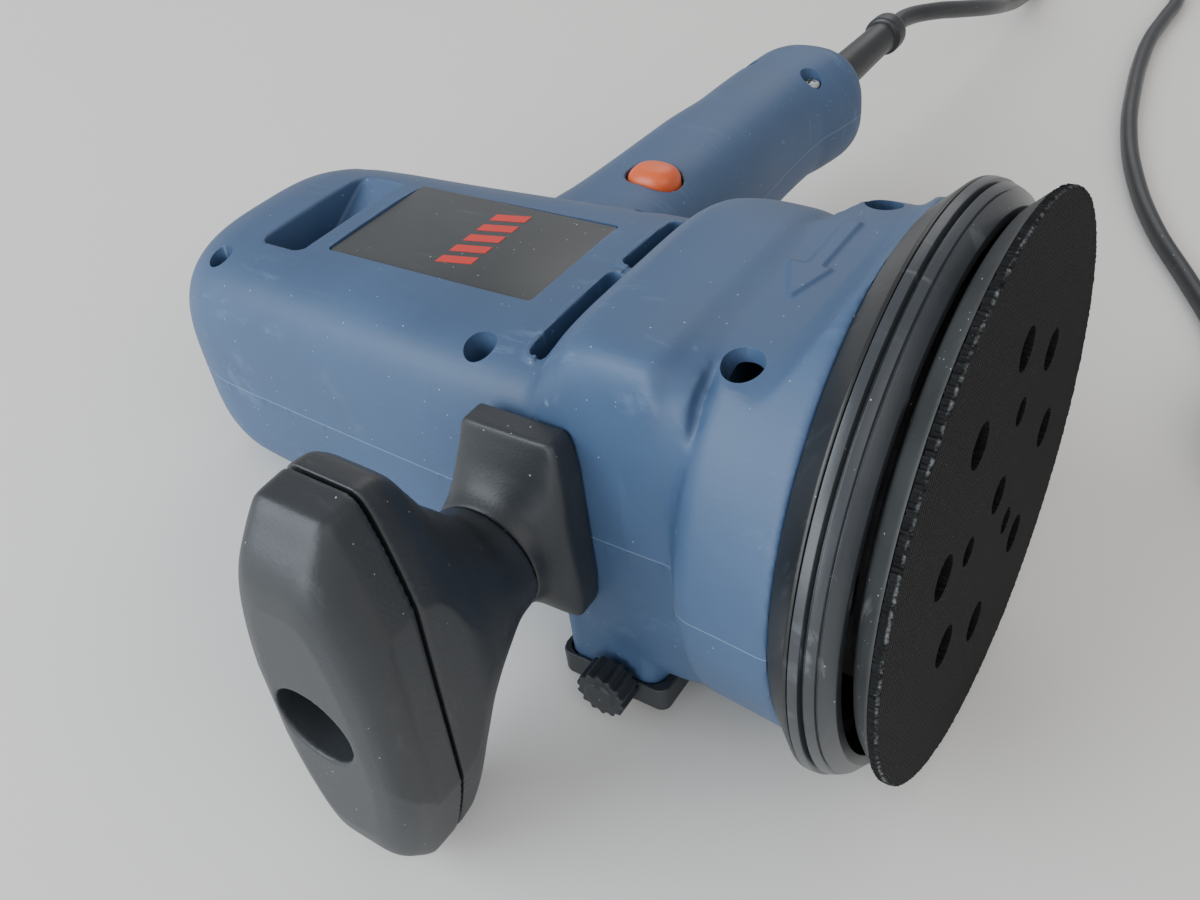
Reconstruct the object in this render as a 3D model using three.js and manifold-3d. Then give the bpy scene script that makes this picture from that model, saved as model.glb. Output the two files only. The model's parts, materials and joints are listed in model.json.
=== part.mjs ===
// Two-handed dual action polisher, lying on its side. Millimetres.
// Tool frame: x along the spin axis towards the pad, y towards the rear handle, z up to the label side.
import * as THREE from 'three';
import { mergeVertices } from 'three/addons/utils/BufferGeometryUtils.js';
import Module from 'manifold-3d';

const wasm = await Module();
wasm.setup();

// Driving dimensions.
const gap = 0.3;                  // between pieces that touch
const wall = 3;                   // moulded wall thickness
const padRadius = 61.5;           // hook face
const orbit = { y: 2.4, z: 0.7 }; // pad axis from the spin axis, a 5 mm orbit
const noseLift = THREE.MathUtils.degToRad(9.6); // the spin axis rises towards the pad

const handleAxis = { x: -119.5, z: 0 }; // cord guard and clamp
const guardEnd = 240;
const clampSpacing = 8.6;         // clamp screws from the cord's centre
const neckAxis = { x: -84, z: 0 };
const gripLean = 2.2;             // degrees, the grip's turn about its neck at rest
const gripRecess = 9.1;
const cordDiameter = 6.8;

const screwPlaces = [
  { name: 'tail', x: -186, y: 27.4, recess: 3.3, floor: 19.5, reach: -19 },
  { name: 'middle', x: -98.6, y: 33.6, recess: 3.7, floor: 17, reach: -18 },
  { name: 'front', x: -38.3, y: 31.6, recess: 4.1, floor: 31, reach: -30 },
];
const handleScrewPlaces = [
  { name: 'pad_side', x: -109, y: 147 },
  { name: 'tail_side', x: -132, y: 149 },
];
const postRadius = 5.4;

const slot = { low: -86.6, high: -82, left: -33.5, right: 25, bridgeLow: -1.8, bridgeHigh: 1.8, corner: 1.9 };
const tailVent = { x: -170.6, y: -1.5, halfX: 7.5, halfY: 19.5 };
const label = { x: -127, halfX: 30, halfY: 17.6, floor: 32.5, top: 33.9 };

const finish = {
  shell: material(0x4a6285, 0.55),
  black: material(0x1c1e20, 0.5),
  rubber: material(0x17181a, 0.7),
  hook: material(0x202124, 0.95),
  orange: material(0xd9622b, 0.35),
  label: material(0x2a2c2e, 0.25),
  steel: material(0x9a9da1, 0.35, 1),
  iron: material(0x5b5e62, 0.5, 1),
  copper: material(0xa8642f, 0.4, 1),
  brass: material(0xb08d4a, 0.4, 1),
  carbon: material(0x1b1b1c, 0.8),
  nylon: material(0x3a3d41, 0.6),
  aluminium: material(0xb4b7ba, 0.45, 1),
};

function material(colour, roughness, metalness = 0) {
  return new THREE.MeshStandardMaterial({ color: colour, roughness, metalness });
}

// Solids.
function signedVolume(positions, triangles) {
  const corner = (i) => new THREE.Vector3().fromArray(positions, 3 * triangles[i]);
  let volume = 0;
  for (let i = 0; i < triangles.length; i += 3) {
    volume += corner(i).dot(corner(i + 1).cross(corner(i + 2))) / 6;
  }
  return volume;
}

function solid(geometry) {
  const bare = geometry.clone();
  bare.deleteAttribute('normal');
  bare.deleteAttribute('uv');
  const merged = mergeVertices(bare, 1e-4);
  const positions = merged.attributes.position.array;
  const source = merged.index.array;
  const triangles = [];
  for (let i = 0; i < source.length; i += 3) {
    const [a, b, c] = [source[i], source[i + 1], source[i + 2]];
    if (a !== b && b !== c && c !== a) triangles.push(a, b, c);
  }
  if (signedVolume(positions, triangles) < 0) triangles.reverse();
  return new wasm.Manifold(new wasm.Mesh({
    numProp: 3,
    vertProperties: new Float32Array(positions),
    triVerts: new Uint32Array(triangles),
  }));
}

function join(solids) {
  return solids.reduce((whole, piece) => whole.add(piece));
}

function cut(whole, solids) {
  return solids.reduce((left, piece) => left.subtract(piece), whole);
}

function named(name, manifold, look) {
  const { vertProperties, triVerts } = manifold.getMesh();
  const geometry = new THREE.BufferGeometry();
  geometry.setAttribute('position', new THREE.BufferAttribute(new Float32Array(vertProperties), 3));
  geometry.setIndex(new THREE.BufferAttribute(new Uint32Array(triVerts), 1));
  geometry.computeVertexNormals();
  const mesh = new THREE.Mesh(geometry, look);
  mesh.name = name;
  return mesh;
}

// Shapes.
function box(x0, x1, y0, y1, z0, z1) {
  const geometry = new THREE.BoxGeometry(x1 - x0, y1 - y0, z1 - z0);
  return solid(geometry.translate((x0 + x1) / 2, (y0 + y1) / 2, (z0 + z1) / 2));
}

const turnToX = new THREE.Matrix4().makeRotationZ(-Math.PI / 2);
const turnToZ = new THREE.Matrix4().makeRotationX(Math.PI / 2);

// A turned solid: profile of [distance along the axis, radius].
function turned(profile, axis = 'x', segments = 32) {
  const points = profile.map(([along, radius]) => new THREE.Vector2(radius, along));
  const geometry = new THREE.LatheGeometry(points, segments);
  if (axis === 'x') geometry.applyMatrix4(turnToX);
  if (axis === 'z') geometry.applyMatrix4(turnToZ);
  return solid(geometry);
}

function rod(from, to, radius, axis = 'x', segments = 16) {
  return turned([[from, 0], [from, radius], [to, radius], [to, 0]], axis, segments);
}

function ring(from, to, inner, outer, axis = 'x', segments = 28) {
  const profile = [[from, inner], [from, outer], [to, outer], [to, inner], [from, inner]];
  return turned(profile, axis, segments);
}

// Prisms: a flat shape pushed from one place to another along an axis.
const unitX = new THREE.Vector3(1, 0, 0);
const unitY = new THREE.Vector3(0, 1, 0);
const unitZ = new THREE.Vector3(0, 0, 1);
const shapeToYZ = new THREE.Matrix4().makeBasis(unitY, unitZ, unitX);
const shapeToXZ = new THREE.Matrix4().makeBasis(unitX, unitZ, unitY.clone().negate());

function prism(shape, axis, from, to, curveSegments = 3) {
  const geometry = new THREE.ExtrudeGeometry(shape, { depth: to - from, bevelEnabled: false, curveSegments });
  if (axis === 'x') return solid(geometry.applyMatrix4(shapeToYZ).translate(from, 0, 0));
  if (axis === 'y') return solid(geometry.applyMatrix4(shapeToXZ).translate(0, to, 0));
  return solid(geometry.translate(0, 0, from));
}

function polygon(points) {
  return new THREE.Shape(points.map(([x, y]) => new THREE.Vector2(x, y)));
}

function roundedRectangle(x, y, halfX, halfY, radius) {
  const shape = new THREE.Shape();
  const corners = [[1, 1, 0], [-1, 1, 0.5], [-1, -1, 1], [1, -1, 1.5]];
  for (const [sideX, sideY, turn] of corners) {
    const centreX = x + sideX * (halfX - radius);
    const centreY = y + sideY * (halfY - radius);
    shape.absarc(centreX, centreY, radius, turn * Math.PI, (turn + 0.5) * Math.PI, false);
  }
  shape.closePath();
  return shape;
}

function sector(inner, outer, middle, halfAngle) {
  const shape = new THREE.Shape();
  shape.absarc(0, 0, outer, middle - halfAngle, middle + halfAngle, false);
  shape.absarc(0, 0, inner, middle + halfAngle, middle - halfAngle, true);
  shape.closePath();
  return shape;
}

// A lofted solid through rounded sections. power 2 is an ellipse, more is squarer;
// below is the power of the lower half and rear that of the upper quarter on the far side.
// waist narrows the section away from its middle.
function sectionRing(axis, { at, centre = [0, 0], half, power, below = power, rear = power, waist = 0 }, count) {
  const points = [];
  for (let i = 0; i < count; i += 1) {
    const angle = (2 * Math.PI * (i + 0.5)) / count;
    const upper = Math.cos(angle) > 0 ? rear : power;
    const squareness = 2 / (Math.sin(angle) > 0 ? upper : below);
    const across = Math.sign(Math.cos(angle)) * Math.abs(Math.cos(angle)) ** squareness;
    const up = Math.sign(Math.sin(angle)) * Math.abs(Math.sin(angle)) ** squareness;
    const narrowing = 1 - waist * (1 - Math.cos((up * Math.PI) / 2));
    const u = centre[0] + half[0] * across * narrowing;
    const v = centre[1] + half[1] * up;
    points.push(axis === 'x' ? [at, u, v] : [u, at, v]);
  }
  return points;
}

function loft(axis, sections, count = 28) {
  const rings = sections.map((section) => sectionRing(axis, section, count));
  const positions = rings.flat(2);
  const triangles = [];
  for (let r = 0; r + 1 < rings.length; r += 1) {
    for (let i = 0; i < count; i += 1) {
      const next = (i + 1) % count;
      const [a, b, c, d] = [r * count + i, r * count + next, (r + 1) * count + next, (r + 1) * count + i];
      triangles.push(a, b, c, a, c, d);
    }
  }
  for (const end of [0, rings.length - 1]) {
    const middle = positions.length / 3;
    const mean = [0, 1, 2].map((k) => rings[end].reduce((sum, p) => sum + p[k], 0) / count);
    positions.push(...mean);
    for (let i = 0; i < count; i += 1) {
      const [a, b] = [end * count + i, end * count + ((i + 1) % count)];
      triangles.push(...(end === 0 ? [middle, b, a] : [middle, a, b]));
    }
  }
  const geometry = new THREE.BufferGeometry();
  geometry.setAttribute('position', new THREE.Float32BufferAttribute(positions, 3));
  geometry.setIndex(triangles);
  return solid(geometry);
}

function thinner(sections, by) {
  return sections.map((section) => ({ ...section, half: section.half.map((h) => h - by) }));
}

const twoSides = [{ name: 'left', side: -1 }, { name: 'right', side: 1 }];

// Housing: the motor barrel swells into the gear block, the skirt and the rear handle.
const barrel = [
  { at: -205, half: [24, 21], power: 2.6, rear: 2.6, below: 3.5 },
  { at: -203.6, half: [29, 25.5], power: 2.8, rear: 2.7, below: 3.6 },
  { at: -200.5, half: [33.3, 29.5], power: 3.1, rear: 2.8, below: 3.7 },
  { at: -195, half: [36.6, 32.2], power: 3.5, rear: 2.9, below: 3.8 },
  { at: -186, half: [38.8, 33.6], power: 4, rear: 3, below: 3.9 },
  { at: -163, half: [40.3, 34.3], power: 4.4, rear: 3, below: 3.9 },
  { at: -113, half: [42.8, 34.4], power: 5, rear: 3.3, below: 4.2 },
  { at: -93, half: [43.6, 34.6], power: 5.2, rear: 3.5, below: 4.5 },
  { at: -84, half: [43.9, 34.9], power: 5.4, rear: 3.5, below: 4.7 },
  { at: -81.9, half: [44, 35.3], power: 5.4, rear: 3.4, below: 4.8 },
  { at: -78.5, half: [44.1, 39.4], power: 6, rear: 3.1, below: 5 },
  { at: -74, half: [44.3, 43.8], power: 7, rear: 2.9, below: 5.2 },
  { at: -69, half: [44.4, 46.4], power: 8, rear: 2.8, below: 5.4 },
  { at: -60, half: [44.5, 47.5], power: 9, rear: 2.8, below: 5.5 },
  { at: -52, half: [44.5, 47.2], power: 9, rear: 2.8, below: 5.5 },
  { at: -47.5, half: [44.5, 46], power: 8, rear: 2.8, below: 5.5 },
  { at: -44, half: [44.5, 45.1], power: 7, rear: 2.8, below: 5.5 },
];
const rearHandle = [
  { at: 22, centre: [-123, 1], half: [25, 25], power: 3 },
  { at: 44, centre: [-122.6, 1.6], half: [22, 21.8], power: 2.8 },
  { at: 60, centre: [-122.3, 2], half: [21.2, 20.8], power: 2.6 },
  { at: 100, centre: [-122, 2], half: [19.9, 20.6], power: 2.5 },
  { at: 125, centre: [-122, 2], half: [18.6, 19.2], power: 2.5 },
  { at: 142, centre: [-121.6, 2], half: [18.5, 19.2], power: 2.5 },
  { at: 151, centre: [-120.1, 2], half: [18.8, 19.4], power: 2.6 },
  { at: 160, centre: [-118.8, 2], half: [19.2, 19.6], power: 2.6 },
  { at: 166, centre: [-118, 2], half: [18.6, 18.8], power: 2.5 },
  { at: 170.5, centre: [-118, 1.5], half: [14, 14], power: 2.4 },
];
const skirtOutside = [[-48, 0], [-48, 46], [-42.6, 54.4], [-40.2, 55.8], [-30, 56.6], [-21.7, 57.4], [-21.7, 0]];
const skirtInside = [[-43, 0], [-43, 48], [-40, 51.4], [-21, 54], [-21, 0]];
const bandHeight = 45.4; // top and bottom of the skirt, behind its flare
const band = [
  { at: -48, half: [46.5, bandHeight], power: 5 },
  { at: -33, half: [46.5, bandHeight], power: 5 },
  { at: -20.5, half: [59.5, 58.2], power: 2.2 },
];
const bandFoot = 36;     // the round part of the skirt shows below this height

function skirt(profile, depth) {
  const crown = loft('x', thinner(band, depth), 36);
  const sides = box(-48, -20.5, -70, 70, depth - bandFoot, bandFoot - depth);
  return turned(profile, 'x', 40).intersect(crown.add(sides));
}

const duct = { x: -69.5, y: -25.5, halfX: 12.5, halfY: 17.5, foot: -48.2 };
const collarFoot = -50.3;

function directionArrow() {
  const outline = [
    [-38.3, 19.5], [-38.3, 0.6], [-36.2, 0.6], [-39.4, -11], [-44.9, 0.8], [-41.2, 0.8], [-41.2, 19.5],
  ];
  return prism(polygon(outline), 'z', bandHeight - 2, bandHeight + 0.7);
}

function housingOutside() {
  const ductBox = prism(roundedRectangle(duct.x, duct.y, duct.halfX, duct.halfY, 4), 'z', duct.foot, -20);
  return join([loft('x', barrel, 32), loft('y', rearHandle), skirt(skirtOutside, 0), ductBox, directionArrow()]);
}

function housingInside() {
  const barrelHollow = thinner(barrel, wall + 0.4).filter((s) => s.at > -203 && s.at !== -186);
  const handleHollow = thinner(rearHandle, wall + 0.4).filter((s) => ![60, 142, 166, 170.5].includes(s.at));
  handleHollow.push({ at: 164.5, centre: [-118, 2], half: [15.2, 15], power: 2.5 });
  const ductWay = prism(roundedRectangle(duct.x, duct.y, duct.halfX - wall, duct.halfY - wall, 3), 'z', -60, -20);
  const hollows = [
    loft('x', barrelHollow, 20),
    loft('y', handleHollow, 16),
    skirt(skirtInside, wall),
    ductWay,
  ];
  return join(hollows);
}

// Seats, posts and partitions that stand in the hollow.
function partition(from, to, boreRadius) {
  return cut(box(from, to, -43, 43, -60, 60), [rod(from - 1, to + 1, boreRadius, 'x', 20)]);
}

function postsInside() {
  const posts = [];
  for (const { x, y } of screwPlaces) {
    for (const { side } of twoSides) posts.push(rod(-60, 60, postRadius, 'z', 8).translate([x, side * y, 0]));
  }
  for (const { x, y } of handleScrewPlaces) posts.push(rod(-30, 30, 4, 'z', 8).translate([x, y, 0]));
  for (const { side } of twoSides) {
    posts.push(box(-179, -169, Math.min(side * 19, side * 29), Math.max(side * 19, side * 29), -40, -6.4));
    posts.push(rod(-30, -0.5, 3.4, 'z', 8).translate([handleAxis.x + side * clampSpacing, 137, 0]));
  }
  return posts;
}

function ventCollar() {
  const { x, y, halfX, halfY } = tailVent;
  return prism(roundedRectangle(x, y, halfX + 2, halfY + 2, 5), 'z', 27, 60);
}

function housingCuts() {
  const cuts = [];
  cuts.push(prism(roundedRectangle(tailVent.x, tailVent.y, tailVent.halfX, tailVent.halfY, 4), 'z', 10, 60));
  for (const [from, to] of [[slot.left, slot.bridgeLow], [slot.bridgeHigh, slot.right]]) {
    const outline = roundedRectangle(
      (slot.low + slot.high) / 2, (from + to) / 2, (slot.high - slot.low) / 2, (to - from) / 2, slot.corner,
    );
    cuts.push(prism(outline, 'z', 10, 60));
  }
  cuts.push(prism(roundedRectangle(label.x, 0, label.halfX + gap, label.halfY + gap, 1.2), 'z', label.floor, 60));
  for (const place of screwPlaces) {
    for (const { side } of twoSides) cuts.push(...screwHole(place.x, side * place.y, place));
  }
  for (const { x, y } of handleScrewPlaces) cuts.push(...screwHole(x, y, { recess: 3.2, floor: 13, reach: -13 }));
  for (const { side } of twoSides) {
    cuts.push(rod(-14.5, 1, 1.6, 'z', 8).translate([handleAxis.x + side * clampSpacing, 137, 0]));
  }
  cuts.push(box(-109, -86, 49.4, 82.6, -6.4, 6.4)); // trigger
  cuts.push(prism(roundedRectangle(lock.x, lock.y, lock.halfX + 0.4, lock.halfY + 0.4, 5.4), 'z', 8, 40));
  cuts.push(rod(-50, -42, 18.8, 'x', 20)); // bearing plate hub
  cuts.push(rod(161, 178, 7, 'y', 20).translate([handleAxis.x, 0, handleAxis.z])); // cord guard
  cuts.push(rod(-60, -38, 3.5, 'y', 12).translate([neckAxis.x, 0, neckAxis.z])); // grip bolt
  return cuts;
}

function screwHole(x, y, { recess, floor, reach }) {
  const recessRod = rod(floor, 70, recess, 'z', 12).translate([x, y, 0]);
  const shankRod = rod(reach - 1.5, floor + 1, 2.1, 'z', 6).translate([x, y, 0]);
  return [recessRod, shankRod];
}

const lock = { x: -116.5, y: 64, halfX: 7.3, halfY: 6.3, top: 25, rim: 1.2 };

function housingShells() {
  const outside = housingOutside();
  const partitions = [
    partition(-196.6, -189.4, 9.9),   // rear bearing seat
    partition(-154, -151, 30.8),      // stator seats
    partition(-119, -116, 30.8),
    partition(-47.6, -45.2, 18.4),    // bearing plate seat
    partition(-34, -31.6, 24),        // fan chamber wall
  ].map((p) => p.intersect(outside));
  const posts = join([...postsInside(), ventCollar()]).intersect(outside);
  const shell = cut(outside.subtract(housingInside()).add(join(partitions)).add(posts), [
    ...housingCuts(),
    prism(roundedRectangle(duct.x, duct.y, duct.halfX - wall, duct.halfY - wall, 3), 'z', -60, -36),
  ]);
  const upperHalf = box(-300, 100, -200, 300, 0.06, 200);
  const lowerHalf = box(-300, 100, -200, 300, -200, -0.06);
  return [
    named('upper_shell', shell.intersect(upperHalf), finish.shell),
    named('lower_shell', shell.intersect(lowerHalf), finish.shell),
  ];
}

function screw(headRadius, headHeight, shankRadius, length) {
  const profile = [
    [0, 0], [0, headRadius], [-headHeight, headRadius], [-headHeight, shankRadius], [-length, shankRadius], [-length, 0],
  ];
  return turned(profile, 'z', 10).subtract(box(-0.5 * headRadius, 0.5 * headRadius, -0.5, 0.5, -1.2, 1));
}

function housingScrews() {
  const screws = [];
  for (const { name, x, y, recess, floor, reach } of screwPlaces) {
    for (const { name: sideName, side } of twoSides) {
      const body = screw(recess - 0.5, 2.4, 1.6, floor + 2.7 - reach).translate([x, side * y, floor + 2.7]);
      screws.push(named(`housing_screw_${name}_${sideName}`, body, finish.steel));
    }
  }
  for (const { name, x, y } of handleScrewPlaces) {
    const body = screw(2.9, 2.4, 1.6, 28).translate([x, y, 15.7]);
    screws.push(named(`handle_screw_${name}`, body, finish.steel));
  }
  return screws;
}

function labelPlate() {
  const outline = roundedRectangle(label.x, 0, label.halfX, label.halfY, 1);
  return named('label_plate', prism(outline, 'z', label.floor + gap, label.top), finish.label);
}

// Skirt trim.
const bumper = [
  [-15.2, 56], [-15.2, 62.6], [-13.2, 62.4], [-13, 60.6], [-12.5, 60.6], [-12.3, 61.9],
  [-10.2, 61], [-7.9, 58.2], [-7.9, 56], [-15.2, 56],
];

function skirtTrim() {
  const flange = [[-21.4, 54.2], [-21.4, 57.4], [-15.9, 62.7], [-15.5, 62.7], [-15.5, 56], [-17, 54.2], [-21.4, 54.2]];
  return [
    named('skirt_flange', turned(flange, 'x', 40), finish.black),
    named('bumper_ring', turned(bumper, 'x', 40), finish.rubber),
  ];
}

// Motor.
const shaftRadius = 5;

function stator() {
  const upRight = Math.PI / 2;
  const poles = [1, -1].map((side) => prism(sector(21.8, 27, side * upRight, 0.7), 'x', -158, -112, 4));
  const core = join([ring(-158, -112, 26, 30.2, 'x', 28), ...poles]);
  const pieces = [named('stator_core', core, finish.iron)];
  for (const [name, side] of [['upper', 1], ['lower', -1]]) {
    const whole = prism(sector(22, 25.5, side * upRight, 1.25), 'x', -163, -107, 5);
    const window = prism(sector(21, 27, side * upRight, 0.75), 'x', -158.4, -111.6, 5);
    pieces.push(named(`field_coil_${name}`, whole.subtract(window), finish.copper));
  }
  return pieces;
}

function brushGear() {
  const pieces = [];
  for (const { name, side } of twoSides) {
    const between = (a, b) => [Math.min(side * a, side * b), Math.max(side * a, side * b)];
    const [holderLow, holderHigh] = between(14, 29);
    const [brushLow, brushHigh] = between(12.3, 23);
    const holder = box(-180, -168, holderLow, holderHigh, -6, 6)
      .subtract(box(-177.8, -170.2, holderLow - 1, holderHigh + 1, -3.8, 3.8));
    pieces.push(named(`brush_holder_${name}`, holder, finish.brass));
    pieces.push(named(`carbon_brush_${name}`, box(-177.4, -170.6, brushLow, brushHigh, -3.4, 3.4), finish.carbon));
    pieces.push(named(`brush_spring_${name}`, brushSpring(side), finish.steel));
  }
  return pieces;
}

function brushSpring(side) {
  const turns = 3;
  const points = [];
  for (let i = 0; i <= turns * 8; i += 1) {
    const angle = (i / 8) * 2 * Math.PI;
    const along = 24 + (i / (turns * 8)) * 4.4;
    points.push(new THREE.Vector3(-174 + 2.4 * Math.cos(angle), side * along, 2.4 * Math.sin(angle)));
  }
  const wire = new THREE.Shape().absarc(0, 0, 0.35, 0, 2 * Math.PI);
  const path = new THREE.CatmullRomCurve3(points);
  const options = { steps: turns * 8, extrudePath: path, curveSegments: 2, bevelEnabled: false };
  return solid(new THREE.ExtrudeGeometry(wire, options));
}

function bearings() {
  const plate = [[-52, 14.6], [-52, 26], [-48, 26], [-48, 18], [-38.4, 18], [-38.4, 14.6], [-52, 14.6]];
  return [
    named('rear_bearing', ring(-196, -190, 3.7, 9.6), finish.steel),
    named('front_bearing', ring(-47, -39, 6.2, 14.3), finish.steel),
    named('bearing_plate', turned(plate), finish.aluminium),
    named('fan_baffle', loft('x', [
      { at: -76.3, half: [38.4, 35.6], power: 4, rear: 2.6 },
      { at: -74.2, half: [38.4, 35.6], power: 4, rear: 2.6 },
    ], 20).subtract(rod(-77, -74, 24, 'x', 20)), finish.nylon),
  ];
}

function rotor() {
  const shaft = [
    [-199, 0], [-199, 3.4], [-188.5, 3.4], [-188.5, shaftRadius], [-60, shaftRadius],
    [-60, 5.9], [-38.5, 5.9], [-38.5, shaftRadius], [-29.5, shaftRadius], [-29.5, 0],
  ];
  const core = new THREE.Shape();
  const slots = 12;
  for (let i = 0; i < slots; i += 1) {
    const step = (2 * Math.PI) / slots;
    core.absarc(0, 0, 21.2, i * step + 0.06, (i + 1) * step - 0.06, false);
    core.absarc(0, 0, 14.5, (i + 1) * step - 0.06, (i + 1) * step + 0.06, false);
  }
  core.closePath();
  const bore = rod(-200, 0, shaftRadius + gap);
  return [
    named('armature_shaft', turned(shaft, 'x', 16), finish.steel),
    named('armature_core', prism(core, 'x', -157, -113, 1).subtract(bore), finish.iron),
    named('commutator', ring(-186, -168, shaftRadius + gap, 12, 'x', 20), finish.copper),
    named('cooling_fan', fan(-73, -70.6, -62.5, 12, 37.5, 9).subtract(bore), finish.nylon),
    named('eccentric_hub', eccentricHub(), finish.aluminium),
    named('pad_bearing', ring(-26.4, -18.4, 5.3, 13, 'x', 24).translate([0, orbit.y, orbit.z]), finish.steel),
  ];
}

function fan(back, plate, front, hubRadius, tipRadius, blades) {
  const parts = [rod(back, plate, tipRadius, 'x', 28), rod(back, front, hubRadius, 'x', 20)];
  for (let i = 0; i < blades; i += 1) {
    const blade = box(plate - 0.5, front, hubRadius - 1, tipRadius - 0.5, -0.8, 0.8);
    parts.push(blade.rotate([(360 * i) / blades, 0, 0]));
  }
  return join(parts);
}

function eccentricHub() {
  const away = Math.atan2(-orbit.z, -orbit.y);
  const wheel = fan(-30.6, -28.4, -16, 20, 43, 8);
  const weight = prism(sector(18, 31, away, 1.2), 'x', -29, -17, 5);
  return cut(join([wheel, rod(-37.5, -15, 19, 'x', 24), weight]), [
    rod(-38, -28, shaftRadius + gap),
    rod(-27, -10, 13.3, 'x', 24).translate([0, orbit.y, orbit.z]),
    rod(-29, -26, 7).translate([0, orbit.y, orbit.z]),
  ]);
}

// Pad: all of it is centred on the orbiting axis.
const dustHoles = { count: 8, radius: 4.75, circle: 32.5, first: -10 };
const screwHoles = { count: 3, radius: 3.25, circle: 17.5, first: 62 };

function padHoles(from, to, screwRadius) {
  const holes = [rod(from, to, 4.25, 'x', 8)];
  const around = ({ count, circle, first }, radius) => {
    for (let i = 0; i < count; i += 1) {
      const angle = THREE.MathUtils.degToRad(first + (360 * i) / count);
      holes.push(rod(from, to, radius, 'x', 8).translate([0, circle * Math.cos(angle), circle * Math.sin(angle)]));
    }
  };
  around(dustHoles, dustHoles.radius);
  around(screwHoles, screwRadius);
  return holes;
}

function pad() {
  const spindle = [[-25.5, 0], [-25.5, 5], [-13.6, 5], [-13.6, 21.5], [-11.3, 21.5], [-11.3, 0]];
  const cushion = [[-8.5, 0], [-8.5, 51.5], [-7, 55.4], [-6.2, 57.3], [-2.9, 60.5], [-2.2, 60.8], [-2.2, 0]];
  const face = [[-1.9, 0], [-1.9, padRadius], [-0.4, padRadius], [0, 61.2], [0, 0]];
  const pieces = [
    ['backing_plate', cut(rod(-11, -8.8, 47, 'x', 32), padHoles(-12, -8, 1.9)), finish.nylon],
    ['pad_cushion', cut(turned(cushion, 'x', 40), padHoles(-9, -2, screwHoles.radius)), finish.rubber],
    ['hook_face', cut(turned(face, 'x', 40), padHoles(-3, 1, screwHoles.radius)), finish.hook],
  ];
  const screwCuts = [];
  for (let i = 0; i < screwHoles.count; i += 1) {
    const angle = THREE.MathUtils.degToRad(screwHoles.first + (360 * i) / screwHoles.count);
    const place = [-5.8, screwHoles.circle * Math.cos(angle), screwHoles.circle * Math.sin(angle)];
    const body = screw(2.8, 2.4, 1.5, 7.4).rotate([0, 90, 0]).translate(place);
    pieces.push([`pad_screw_${i + 1}`, body, finish.steel]);
    screwCuts.push(rod(-14, -11, 1.8, 'x', 8).translate([0, place[1], place[2]]));
  }
  pieces.push(['pad_spindle', cut(turned(spindle, 'x', 24), screwCuts), finish.steel]);
  return pieces.map(([name, body, look]) => named(name, body.translate([0, orbit.y, orbit.z]), look));
}

// Front grip.
const saddleSections = [
  { at: -44.9, centre: [-80.3, 4.4], half: [13.2, 23.8], power: 8, waist: 0.12 },
  { at: -50.2, centre: [-80.3, 4.4], half: [13.2, 23.8], power: 8, waist: 0.12 },
  { at: -51.8, centre: [-80.7, 3.8], half: [13.1, 21.6], power: 5, waist: 0.08 },
  { at: -54, centre: [-82, 2.4], half: [13.1, 17.4], power: 3.2 },
  { at: -57, centre: [-83.2, 1.4], half: [13.1, 14.4], power: 2.3 },
  { at: -60, centre: [-83.6, 1], half: [13.1, 13.1], power: 2 },
].reverse();
const gripSections = [
  { at: -60.4, centre: [0.4, 1], half: [13.1, 13.1], power: 2 },
  { at: -64, centre: [0.4, 0.8], half: [13.1, 14.4], power: 2, waist: 0.05 },
  { at: -70, centre: [0.3, 0.4], half: [13.4, 21.4], power: 2.3, waist: 0.2 },
  { at: -76, centre: [0.2, 0], half: [14.2, 30.4], power: 3, waist: 0.32 },
  { at: -81, half: [15.5, 39.6], power: 4.4, waist: 0.42 },
  { at: -84.6, half: [16.5, 45.6], power: 6.4, waist: 0.45 },
  { at: -87.5, half: [17, 47.6], power: 7.6, waist: 0.46 },
  { at: -91.6, half: [17.2, 48.2], power: 8, waist: 0.46 },
];
const capSections = [
  { at: -92.5, half: [17.2, 48.2], power: 8, waist: 0.46 },
  { at: -99, half: [17.1, 47.8], power: 8, waist: 0.46 },
  { at: -103, half: [16.5, 43.8], power: 7, waist: 0.44 },
  { at: -106, half: [15, 39.8], power: 6, waist: 0.42 },
  { at: -107.5, half: [13, 36], power: 5, waist: 0.38 },
  { at: -108.3, half: [10, 31], power: 4.4, waist: 0.3 },
];

function alongNeck(sections) {
  const upright = loft('y', [...sections].sort((a, b) => a.at - b.at), 32);
  return upright.rotate([0, gripLean, 0]).translate([neckAxis.x, 0, neckAxis.z]);
}

function frontGrip() {
  const place = [neckAxis.x, 0, neckAxis.z];
  const boltWay = rod(-120, -40, 3.6, 'y', 12).translate(place);
  const bolt = [[-97.4, 0], [-97.4, 6], [-91.8, 6], [-91.8, 3.2], [-33, 3.2], [-33, 0]];
  const socket = prism(regularShape(6, 2.6), 'y', -99, -94.5).translate(place);
  const recess = rod(-120, -88, gripRecess, 'y', 20).translate(place);
  return {
    fixed: [
      named('grip_saddle', loft('y', saddleSections).subtract(boltWay), finish.black),
      named('grip_bolt', turned(bolt, 'y', 16).translate(place).subtract(socket), finish.steel),
      named('grip_nut', ring(-40, -34, 3.6, 6, 'y', 12).translate(place), finish.brass),
    ],
    moving: [
      named('grip_body', cut(alongNeck(gripSections), [boltWay, rod(-120, -91, gripRecess, 'y', 20).translate(place)]), finish.black),
      named('grip_cap', alongNeck(capSections).subtract(recess), finish.black),
    ],
  };
}

function regularShape(sides, radius) {
  const corner = (i) => [radius * Math.cos((2 * Math.PI * i) / sides), radius * Math.sin((2 * Math.PI * i) / sides)];
  return polygon(Array.from({ length: sides }, (_, i) => corner(i)));
}

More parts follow.
